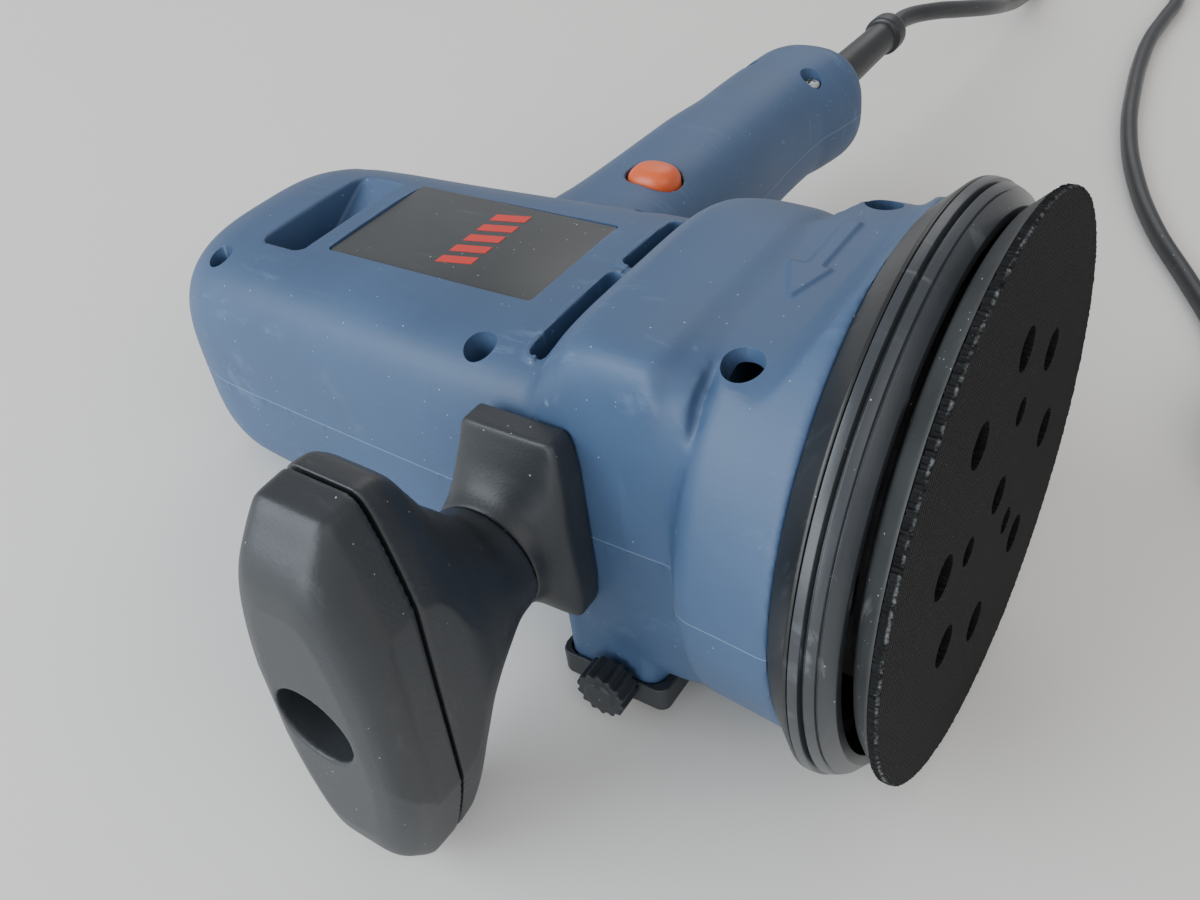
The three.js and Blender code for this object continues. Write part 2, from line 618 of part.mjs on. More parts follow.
// Controls in the rear handle.
function controls() {
  const trigger = join([
    loft('x', [
      { at: -108.6, centre: [66, 0], half: [15.8, 5.9], power: 6 },
      { at: -97, centre: [66, 0], half: [15.4, 5.8], power: 5 },
      { at: -94.4, centre: [66, 0], half: [13, 4.4], power: 3.6 },
    ], 24),
    box(-111.6, -108.4, 47.8, 84.2, -7.8, 7.8),
  ]);
  const { x, y, halfX, halfY, top, rim } = lock;
  const cap = [
    [13, halfX, halfY], [top - 3, halfX, halfY], [top - 1.2, halfX - 1.5, halfY - 1.5], [top, halfX - 5, halfY - 5],
  ].map(([at, a, b]) => ({ at, centre: [y, 0], half: [b, a], power: 2.4 }));
  const button = loft('x', cap, 24).rotate([0, -90, 0]).translate([x, 0, 0]);
  const flange = prism(roundedRectangle(x, y, halfX + rim, halfY + rim, 5), 'z', 11.9, 13.3);
  return {
    fixed: [named('switch_body', box(-134.4, -116.4, 46, 86, -9.6, 9.6), finish.nylon)],
    trigger: named('trigger', trigger, finish.black),
    lockButton: named('lock_button', button.add(flange), finish.orange),
  };
}

function cordEntry() {
  const place = [handleAxis.x, 0, handleAxis.z];
  const guard = [
    [129, 0], [129, 4.8], [160.6, 4.8], [160.6, 8.4], [163.8, 8.4], [163.8, 6.6], [173, 6.6],
    [231, 5.6], [231.6, 7.1], [237.6, 7.1], [guardEnd, 6], [guardEnd, 0],
  ];
  const plate = box(-11.6, 11.6, 133.5, 140.5, 5.2, 7.8).translate(place);
  const screwPlace = (side) => [handleAxis.x + side * clampSpacing, 137];
  const holes = twoSides.map(({ side }) => rod(4, 9, 1.7, 'z', 12).translate([...screwPlace(side), 0]));
  return [
    named('cord_guard', turned(guard, 'y', 20).translate(place), finish.black),
    named('cord_clamp', cut(plate, holes), finish.nylon),
    ...twoSides.map(({ name, side }) => named(
      `clamp_screw_${name}`,
      screw(2.7, 1.8, 1.3, 23).translate([...screwPlace(side), 9.9]),
      finish.steel,
    )),
  ];
}

// Dust outlet under the gear block.
const knobAxis = { x: -67.5, z: -43.6 };

function dustOutlet() {
  const { x, y, halfX, halfY, foot } = duct;
  const outside = prism(roundedRectangle(x + 0.5, y, halfX + 1.8, halfY + 1.2, 2.5), 'z', collarFoot, -43.4);
  const collar = cut(outside, [
    prism(roundedRectangle(x, y, halfX - wall, halfY - wall, 3), 'z', -60, -40),
    prism(roundedRectangle(x, y, halfX + gap, halfY + gap, 4), 'z', foot - gap, -20),
    loft('x', thinner(barrel, -gap)),
  ]);
  const ribs = 14;
  const parts = [rod(-51.3, -44.7, 5.6, 'y', 14)];
  for (let i = 0; i < ribs; i += 1) {
    parts.push(box(5, 6.4, -50.9, -45, -0.6, 0.6).rotate([0, (360 * (i + 0.5)) / ribs, 0]));
  }
  return {
    fixed: [named('dust_collar', collar, finish.black)],
    knob: named('dust_knob', join(parts).translate([knobAxis.x, 0, knobAxis.z]), finish.black),
  };
}

// Cord, laid out on the surface that the tool lies on. These points are in the object's frame.
const cordRoute = [
  [-20.1, 174.8, 44.6], [-19.6, 188, 44.2], [-15, 205, 42], [-9, 226, 37.3], [-4.4, 250, 31], [-4.4, 282, 21.5],
  [-7, 316, 11.5], [-8.8, 350, 5], [-8.6, 384, 3.5], [-4.8, 403, 3.5], [7, 416.8, 3.5], [22.3, 421.5, 3.5],
  [37.6, 416.8, 3.5], [49.4, 403, 3.5], [53.5, 384, 3.5], [53.5, 358, 3.5], [53.5, 330, 3.5], [56, 303, 3.5], [60.5, 273, 3.5], [68, 236, 3.5], [80.3, 198, 3.5],
  [95.5, 166, 3.5], [114, 138, 3.5], [128, 115, 3.8], [137, 93, 4.7], [139.7, 74, 4.9],
];
const tailRoute = [
  [227.3, 72.8, 11.7], [227.3, 86, 11.4], [226.6, 100, 10.2], [224, 115, 8.9], [219.9, 130.6, 8.3],
];
const coil = { x: 183.5, y: 72.8, foot: 1.5, turns: 3, layers: 2, inner: 26.8 };
const plugPlace = { x: 219.8, y: 130.9, z: 8.3, heading: 106 };
const pinSpacing = 19;

function tube(points, steps) {
  const route = new THREE.CatmullRomCurve3(points.map((p) => new THREE.Vector3(...p)));
  const section = new THREE.Shape().absarc(0, 0, cordDiameter / 2, 0, 2 * Math.PI);
  const options = { steps, extrudePath: route, curveSegments: 5, bevelEnabled: false };
  return solid(new THREE.ExtrudeGeometry(section, options));
}

function coilRing(margin) {
  const outer = coil.inner + coil.turns * cordDiameter;
  const [low, high] = [coil.foot - margin, coil.foot + coil.layers * cordDiameter + margin];
  return ring(low, high, coil.inner - margin, outer + margin, 'z', 32).translate([coil.x, coil.y, 0]);
}

function coilTie() {
  const outer = coil.inner + coil.turns * cordDiameter;
  const [near, far] = [coil.y + coil.inner, coil.y + outer];
  const height = coil.foot + coil.layers * cordDiameter;
  const band = box(coil.x - 3, coil.x + 3, near - 1.7, far + 1.7, 0.1, height + 1.4);
  return band.subtract(box(coil.x - 4, coil.x + 4, near - 0.7, far + 0.7, coil.foot - 0.5, height + 0.5));
}

function plug() {
  const body = loft('x', [
    { at: 0.3, half: [4.4, 4.4], power: 2 },
    { at: 22, half: [6, 5.6], power: 2 },
    { at: 27, half: [10, 7.4], power: 2.6 },
    { at: 44, half: [17, 8], power: 3.4 },
    { at: 57, half: [17.6, 8], power: 3.6 },
  ], 20);
  const lay = (shape) => shape.rotate([0, 0, plugPlace.heading]).translate([plugPlace.x, plugPlace.y, plugPlace.z]);
  const pin = (side) => rod(57.3, 76, 2.4, 'x', 10).translate([0, (side * pinSpacing) / 2, 0]);
  return [
    named('plug_body', lay(body), finish.black),
    ...twoSides.map(({ name, side }) => named(`plug_pin_${name}`, lay(pin(side)), finish.brass)),
  ];
}

function cord() {
  const around = coilRing(gap);
  return [
    named('cord_run', tube(cordRoute, 44).subtract(around), finish.black),
    named('cord_coil', coilRing(0), finish.black),
    named('cord_tie', coilTie(), finish.black),
    named('cord_tail', tube(tailRoute, 5).subtract(around), finish.black),
    ...plug(),
  ];
}

// The tool lies on its side, set down with its lowest points on z = 0 and centred over the origin.
const tool = new THREE.Group();
const grip = frontGrip();
const handle = controls();
const outlet = dustOutlet();
tool.add(
  ...housingShells(), ...housingScrews(), labelPlate(), ...skirtTrim(), ...stator(), ...brushGear(), ...bearings(),
  ...grip.fixed, ...grip.moving, ...handle.fixed, handle.trigger, handle.lockButton, ...cordEntry(),
  ...outlet.fixed, outlet.knob, ...rotor(), ...pad(),
);
tool.rotation.set(0, -noseLift, 0);
tool.updateMatrixWorld(true);
const reach = new THREE.Box3().setFromObject(tool, true);
tool.position.set(-(reach.min.x + reach.max.x) / 2, -(reach.min.y + reach.max.y) / 2, -reach.min.z);

const polisher = new THREE.Group();
polisher.add(tool, ...cord());

export default polisher;
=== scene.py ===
import json
import math

import bmesh
import bpy
import numpy as np
from mathutils import Matrix, Vector

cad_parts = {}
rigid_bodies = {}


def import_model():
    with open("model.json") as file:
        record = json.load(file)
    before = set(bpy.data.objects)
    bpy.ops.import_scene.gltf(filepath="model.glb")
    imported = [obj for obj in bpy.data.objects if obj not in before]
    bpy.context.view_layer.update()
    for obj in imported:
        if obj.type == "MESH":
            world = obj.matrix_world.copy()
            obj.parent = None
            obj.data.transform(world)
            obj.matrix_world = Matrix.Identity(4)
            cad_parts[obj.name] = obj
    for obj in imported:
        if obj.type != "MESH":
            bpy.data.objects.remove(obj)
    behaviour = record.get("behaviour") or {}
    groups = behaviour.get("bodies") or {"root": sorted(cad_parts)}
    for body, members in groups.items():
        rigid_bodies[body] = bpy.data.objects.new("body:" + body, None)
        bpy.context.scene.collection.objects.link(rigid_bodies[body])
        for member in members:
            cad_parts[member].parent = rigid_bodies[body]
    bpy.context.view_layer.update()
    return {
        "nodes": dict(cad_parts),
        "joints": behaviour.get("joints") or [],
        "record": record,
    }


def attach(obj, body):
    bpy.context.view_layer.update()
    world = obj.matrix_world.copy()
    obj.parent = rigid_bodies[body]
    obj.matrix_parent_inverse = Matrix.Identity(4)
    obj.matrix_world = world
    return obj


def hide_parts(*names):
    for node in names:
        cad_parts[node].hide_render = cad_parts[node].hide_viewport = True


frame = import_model()
scene = bpy.context.scene
mm = 0.001

# The tool's own frame: x along the spin axis to the pad, y along the rear handle, z to the label.
joints = {joint["name"]: joint for joint in frame["joints"]}
padWay = Vector(joints["motor_spin"]["axis"]).normalized()
handleWay = Vector((0, 1, 0))
labelWay = padWay.cross(handleWay)
toolOrigin = Vector(joints["motor_spin"]["pos_m"])
toolPlace = Matrix([(padWay[k], handleWay[k], labelWay[k], toolOrigin[k]) for k in range(3)] + [(0, 0, 0, 1)])
print("frame loaded:", len(frame["nodes"]), "CAD nodes")

# Camera
cameraLook = {
    "position": (0.11176, -0.24122, 0.22935),
    "right": (0.83812, 0.54474, 0.02857),
    "down": (0.39882, -0.57619, -0.7134),
    "look": (-0.37215, 0.60931, -0.70017),
    "lens": 34.04,
}
cameraData = bpy.data.cameras.new("camera")
cameraData.sensor_width = 36
cameraData.lens = cameraLook["lens"]
cameraData.clip_start = 0.01
camera = bpy.data.objects.new("camera", cameraData)
scene.collection.objects.link(camera)
cameraAxes = [cameraLook["right"], [-v for v in cameraLook["down"]], [-v for v in cameraLook["look"]]]
camera.matrix_world = Matrix.Translation(cameraLook["position"]) @ Matrix(cameraAxes).transposed().to_4x4()
scene.camera = camera


# Building blocks. Lengths inside the calls are in millimetres.
def makePiece(name, points, faces):
    mesh = bpy.data.meshes.new(name)
    mesh.from_pydata((np.array(points, float) * mm).tolist(), [], faces)
    shape = bmesh.new()
    shape.from_mesh(mesh)
    bmesh.ops.recalc_face_normals(shape, faces=shape.faces)
    shape.to_mesh(mesh)
    shape.free()
    mesh.shade_smooth()
    piece = bpy.data.objects.new(name, mesh)
    scene.collection.objects.link(piece)
    return piece


def applyModifiers(piece):
    graph = bpy.context.evaluated_depsgraph_get()
    finished = bpy.data.meshes.new_from_object(piece.evaluated_get(graph))
    piece.modifiers.clear()
    piece.data = finished
    finished.name = piece.name
    return piece


def combine(piece, operation, others):
    for other in others:
        other.hide_render = True
        step = piece.modifiers.new(operation.lower(), "BOOLEAN")
        step.operation = operation
        step.solver = "MANIFOLD"
        step.object = other
    before = len(piece.data.vertices)
    applyModifiers(piece)
    if len(piece.data.vertices) in (0, before):
        print("check the", operation, "of", piece.name)
    for other in others:
        bpy.data.objects.remove(other)
    return piece


def cutAway(piece, *cutters):
    return combine(piece, "DIFFERENCE", cutters)


def joinOn(piece, *additions):
    return combine(piece, "UNION", additions)


def soften(piece, voxel, rounds, keep=1.0):
    remesh = piece.modifiers.new("remesh", "REMESH")
    remesh.mode = "VOXEL"
    remesh.voxel_size = voxel * mm
    smooth = piece.modifiers.new("smooth", "SMOOTH")
    smooth.factor = 0.5
    smooth.iterations = rounds
    if keep < 1:
        thin = piece.modifiers.new("thin", "DECIMATE")
        thin.ratio = keep
    applyModifiers(piece)
    piece.data.shade_smooth()
    return piece


def sharpen(piece, degrees=32):
    piece.data.shade_smooth()
    piece.data.set_sharp_from_angle(angle=math.radians(degrees))
    return piece


def settle(piece, body, slot, *nodes, place=toolPlace):
    piece.data.transform(place)
    piece.data.materials.clear()
    piece.data.materials.append(materials[slot])
    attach(piece, body)
    if nodes:
        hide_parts(*nodes)
    return piece


def toAxes(axis, along, across, up):
    return {"x": (along, across, up), "y": (across, along, up), "z": (across, up, along)}[axis]


# A turned shape. The profile is (distance along the axis, radius); it is a ring where it ends as it starts.
def lathe(name, profile, axis="x", centre=(0, 0), segments=160):
    closed = tuple(profile[0]) == tuple(profile[-1])
    rows = profile[:-1] if closed else profile
    points, rings = [], []
    for along, radius in rows:
        start = len(points)
        count = segments if radius > 1e-6 else 1
        for i in range(count):
            turn = 2 * math.pi * i / segments
            points.append(toAxes(axis, along, centre[0] + radius * math.cos(turn),
                                 centre[1] + radius * math.sin(turn)))
        rings.append([start + i % count for i in range(segments)])
    faces = []
    pairs = list(zip(rings, rings[1:] + ([rings[0]] if closed else [])))
    for low, high in pairs:
        for i in range(segments):
            j = (i + 1) % segments
            corners = [low[i], low[j], high[j], high[i]]
            face = [c for k, c in enumerate(corners) if c not in corners[:k]]
            if len(face) > 2:
                faces.append(face)
    return makePiece(name, points, faces)


def roundProfile(profile, radius, steps=4):
    closed = tuple(profile[0]) == tuple(profile[-1])
    corners = [np.array(p, float) for p in (profile[:-1] if closed else profile)]
    count = len(corners)
    made = []
    for i, corner in enumerate(corners):
        if not closed and i in (0, count - 1):
            made.append(corner)
            continue
        back, ahead = corners[i - 1] - corner, corners[(i + 1) % count] - corner
        reach = min(radius, 0.45 * np.linalg.norm(back), 0.45 * np.linalg.norm(ahead))
        start = corner + back / np.linalg.norm(back) * reach
        end = corner + ahead / np.linalg.norm(ahead) * reach
        for t in np.linspace(0, 1, steps + 1):
            made.append((1 - t) ** 2 * start + 2 * t * (1 - t) * corner + t * t * end)
    if closed:
        made.append(made[0])
    return [tuple(p) for p in made]


def rod(low, high, radius, axis="x", centre=(0, 0), segments=56):
    return lathe("rod", [(low, 0), (low, radius), (high, radius), (high, 0)], axis, centre, segments)


def prism(name, outline, axis, low, high):
    count = len(outline)
    points = [toAxes(axis, level, a, b) for level in (low, high) for a, b in outline]
    faces = [list(range(count)), list(range(count, 2 * count))]
    faces += [[i, (i + 1) % count, count + (i + 1) % count, count + i] for i in range(count)]
    return makePiece(name, points, faces)


def roundedRectangle(x, y, halfX, halfY, radius, steps=8):
    outline = []
    for quarter, (sideX, sideY) in enumerate([(1, 1), (-1, 1), (-1, -1), (1, -1)]):
        for i in range(steps + 1):
            turn = (quarter + i / steps) * math.pi / 2
            outline.append((x + sideX * (halfX - radius) + radius * math.cos(turn),
                            y + sideY * (halfY - radius) + radius * math.sin(turn)))
    return outline


def box(x0, x1, y0, y1, z0, z1):
    return prism("box", [(x0, y0), (x1, y0), (x1, y1), (x0, y1)], "z", z0, z1)


# Values that pass smoothly through the given ones without swinging beyond them.
def easeThrough(at, values, where):
    step = np.diff(at)
    slope = np.diff(values) / step
    tangent = np.zeros(len(at))
    for i in range(1, len(at) - 1):
        if slope[i - 1] * slope[i] > 0:
            near, far = 2 * step[i] + step[i - 1], step[i] + 2 * step[i - 1]
            tangent[i] = (near + far) / (near / slope[i - 1] + far / slope[i])
    tangent[0], tangent[-1] = slope[0], slope[-1]
    k = np.clip(np.searchsorted(at, where, side="right") - 1, 0, len(at) - 2)
    h = step[k]
    t = (where - at[k]) / h
    ends = (1 + 2 * t) * (1 - t) ** 2 * values[k] + t * t * (3 - 2 * t) * values[k + 1]
    return ends + t * (1 - t) ** 2 * h * tangent[k] + t * t * (t - 1) * h * tangent[k + 1]


# A shape lofted through (at, centre u, centre v, half u, half v, power, waist, rear, lower) sections.
# rear and lower are the powers of the upper quarter on the far side and of the lower half, where given.
def loft(name, axis, sections, grow=0.0, count=144, spacing=1.2):
    table = np.array(sorted(tuple(row) + (0.0,) * (9 - len(row)) for row in sections), float)
    at = table[:, 0]
    spans = [np.linspace(a, b, int(math.ceil((b - a) / spacing)) + 2) for a, b in zip(at, at[1:])]
    where = np.unique(np.round(np.concatenate(spans), 4))
    values = np.stack([easeThrough(at, table[:, k], where) for k in range(1, 9)], 1)
    turn = (np.arange(count) + 0.5) * 2 * math.pi / count
    rings = []
    for place, (u, v, halfU, halfV, power, waist, rear, lower) in zip(where, values):
        squareness = np.where(np.sin(turn) > 0, 2 / power, 2 / (lower or power))
        if rear > 1:
            squareness = np.where((np.sin(turn) > 0) & (np.cos(turn) > 0), 2 / rear, squareness)
        across = np.sign(np.cos(turn)) * np.abs(np.cos(turn)) ** squareness
        up = np.sign(np.sin(turn)) * np.abs(np.sin(turn)) ** squareness
        narrow = 1 - waist * (1 - np.cos(up * math.pi / 2))
        us, vs = u + (halfU + grow) * across * narrow, v + (halfV + grow) * up
        rings.append(np.stack(toAxes(axis, np.full(count, place), us, vs), 1))
    faces = [list(range(count)), list(range((len(rings) - 1) * count, len(rings) * count))]
    for r in range(len(rings) - 1):
        for i in range(count):
            j = (i + 1) % count
            faces.append([r * count + i, r * count + j, (r + 1) * count + j, (r + 1) * count + i])
    return makePiece(name, np.concatenate(rings), faces)


# Node helpers
def addNode(tree, kind, inputs=None, **settings):
    node = tree.nodes.new(kind)
    for key, value in settings.items():
        setattr(node, key, value)
    for key, value in (inputs or {}).items():
        if isinstance(value, bpy.types.NodeSocket):
            tree.links.new(value, node.inputs[key])
        else:
            node.inputs[key].default_value = value
    return node


def calculate(tree, operation, *values):
    node = addNode(tree, "ShaderNodeMath", dict(enumerate(values)), operation=operation)
    return node.outputs[0]


def blendColour(tree, factor, first, second, kind="MIX"):
    node = addNode(tree, "ShaderNodeMix", data_type="RGBA", blend_type=kind)
    for socket, value in ((node.inputs[0], factor), (node.inputs[6], first), (node.inputs[7], second)):
        if isinstance(value, bpy.types.NodeSocket):
            tree.links.new(value, socket)
        else:
            socket.default_value = value
    return node.outputs[2]


def spread(tree, value, low, high, toLow=0.0, toHigh=1.0):
    inputs = {"Value": value, "From Min": low, "From Max": high, "To Min": toLow, "To Max": toHigh}
    return addNode(tree, "ShaderNodeMapRange", inputs).outputs[0]


def startGroup(name, inputs, outputs):
    group = bpy.data.node_groups.new(name, "ShaderNodeTree")
    for label, value in inputs:
        socket = group.interface.new_socket(name=label, in_out="INPUT", socket_type="NodeSocketFloat")
        socket.default_value = value
    for label in outputs:
        group.interface.new_socket(name=label, in_out="OUTPUT", socket_type="NodeSocketFloat")
    return group, group.nodes.new("NodeGroupInput"), group.nodes.new("NodeGroupOutput")


# Fine moulded grain, and the broad cloudiness of handled plastic.
def makeGrainGroup():
    group, given, result = startGroup(
        "mouldedGrain", [("Grain Scale", 2600), ("Cloud Scale", 28)], ["Height", "Cloud"])
    place = addNode(group, "ShaderNodeTexCoord").outputs["Object"]
    fine = addNode(group, "ShaderNodeTexNoise",
                   {"Vector": place, "Scale": given.outputs[0], "Detail": 3, "Roughness": 0.6})
    broad = addNode(group, "ShaderNodeTexNoise",
                    {"Vector": place, "Scale": given.outputs[1], "Detail": 5, "Roughness": 0.62})
    group.links.new(fine.outputs["Fac"], result.inputs[0])
    group.links.new(broad.outputs["Fac"], result.inputs[1])
    return group


# Pale specks of dust, and long faint rub marks.
def makeDustGroup():
    group, given, result = startGroup(
        "dustAndRubs", [("Speck Scale", 2600), ("Speck Share", 0.004)], ["Specks", "Rubs"])
    place = addNode(group, "ShaderNodeTexCoord").outputs["Object"]
    cells = addNode(group, "ShaderNodeTexVoronoi", {"Vector": place, "Scale": given.outputs[0]})
    pick = addNode(group, "ShaderNodeSeparateColor", {"Color": cells.outputs["Color"]})
    chosen = calculate(group, "LESS_THAN", pick.outputs[0], given.outputs[1])
    size = spread(group, pick.outputs[1], 0, 1, 0.12, 0.5)
    near = calculate(group, "LESS_THAN", cells.outputs["Distance"], size)
    group.links.new(calculate(group, "MULTIPLY", chosen, near), result.inputs[0])
    long = addNode(group, "ShaderNodeMapping", {"Vector": place, "Scale": (60, 420, 90), "Rotation": (0.4, 0.2, 0.5)})
    streak = addNode(group, "ShaderNodeTexNoise",
                     {"Vector": long.outputs[0], "Scale": 1.0, "Detail": 4, "Roughness": 0.7})
    patch = addNode(group, "ShaderNodeTexNoise", {"Vector": place, "Scale": 34, "Detail": 2})
    rub = calculate(group, "MULTIPLY", spread(group, streak.outputs["Fac"], 0.56, 0.72),
                    spread(group, patch.outputs["Fac"], 0.5, 0.68))
    group.links.new(rub, result.inputs[1])
    return group


# Rubbed outer edges, lightened where the surface is pointy: partly real wear, partly a painted highlight along edges
# that are left crisp.
def makeEdgeWearAndHighlightGroup():
    group, given, result = startGroup("edgeWearAndHighlight", [("Start", 0.53), ("End", 0.6)], ["Worn"])
    bend = addNode(group, "ShaderNodeNewGeometry").outputs["Pointiness"]
    place = addNode(group, "ShaderNodeTexCoord").outputs["Object"]
    broken = addNode(group, "ShaderNodeTexNoise", {"Vector": place, "Scale": 160, "Detail": 4})
    edge = spread(group, bend, given.outputs[0], given.outputs[1])
    wornAndHighlight = calculate(group, "MULTIPLY", edge, spread(group, broken.outputs["Fac"], 0.35, 0.65))
    group.links.new(wornAndHighlight, result.inputs[0])
    return group


grainGroup, dustGroup, edgeWearAndHighlightGroup = makeGrainGroup(), makeDustGroup(), makeEdgeWearAndHighlightGroup()


# The point on the surface, in the tool's own frame.
def toolPoint(tree):
    place = addNode(tree, "ShaderNodeTexCoord").outputs["Object"]
    turn = toolPlace.to_euler()
    inputs = {"Vector": place, "Location": toolOrigin, "Rotation": (turn.x, turn.y, turn.z)}
    return addNode(tree, "ShaderNodeMapping", inputs, vector_type="TEXTURE").outputs[0]


def placeGroup(tree, group, **values):
    node = addNode(tree, "ShaderNodeGroup", node_tree=group)
    for key, value in values.items():
        node.inputs[key].default_value = value
    return node


def startMaterial(name, surface):
    material = bpy.data.materials.new(name)
    material.use_nodes = True
    tree = material.node_tree
    tree.nodes.clear()
    shader = addNode(tree, "ShaderNodeBsdfPrincipled", surface)
    output = addNode(tree, "ShaderNodeOutputMaterial")
    tree.links.new(shader.outputs[0], output.inputs[0])
    return material, tree, shader


def opaque(colour):
    return (*colour, 1.0)


# Moulded plastic, rubber and metal: grain, cloudy colour, dust, rubs, and worn edges whose lightening also serves as
# a painted edge highlight.
def makeFinish(name, look):
    material, tree, shader = startMaterial(name, look.get("surface", {}))
    grainScales = {"Grain Scale": look["grainScale"], "Cloud Scale": look.get("cloudScale", 28)}
    grain = placeGroup(tree, grainGroup, **grainScales)
    dust = placeGroup(tree, dustGroup, **{"Speck Scale": look.get("speckScale", 2600), "Speck Share": look["specks"]})
    wearAndHighlightNode = placeGroup(tree, edgeWearAndHighlightGroup)
    cloud = spread(tree, grain.outputs["Cloud"], 0.3, 0.7)
    darker = opaque([c * (1 - look["mottle"]) for c in look["colour"]])
    lighter = opaque([c * (1 + look["mottle"]) for c in look["colour"]])
    colour = blendColour(tree, cloud, darker, lighter)
    # edge lightening: partly real wear, partly a painted highlight on crisp edges
    wornAndHighlight = calculate(tree, "MULTIPLY", wearAndHighlightNode.outputs["Worn"], look["edge"])
    colour = blendColour(tree, wornAndHighlight, colour, opaque(look["wornAndHighlight"]))
    rubbed = calculate(tree, "MULTIPLY", dust.outputs["Rubs"], look["rubs"])
    colour = blendColour(tree, rubbed, colour, opaque(look["wornAndHighlight"]))
    speckShare = calculate(tree, "MULTIPLY", dust.outputs["Specks"], 0.75)
    colour = blendColour(tree, speckShare, colour, opaque((0.5, 0.52, 0.54)))
    if "seam" in look:  # the fine flash where the two moulded halves meet
        place = addNode(tree, "ShaderNodeSeparateXYZ", {0: toolPoint(tree)})
        off = calculate(tree, "ABSOLUTE", place.outputs[2])
        line = spread(tree, off, 0.0001, 0.0002, look["seam"], 0.0)
        colour = blendColour(tree, line, colour, opaque(look["wornAndHighlight"]))
    tree.links.new(colour, shader.inputs["Base Color"])
    low, high = look["roughness"]
    rough = calculate(tree, "ADD", spread(tree, grain.outputs["Cloud"], 0.3, 0.7, low, high),
                      calculate(tree, "MULTIPLY", rubbed, 0.2))
    tree.links.new(rough, shader.inputs["Roughness"])
    bump = addNode(tree, "ShaderNodeBump", {"Height": grain.outputs["Height"], "Strength": look["grainStrength"],
                                            "Distance": look["grainDepth"] * mm})
    tree.links.new(bump.outputs[0], shader.inputs["Normal"])
    return material
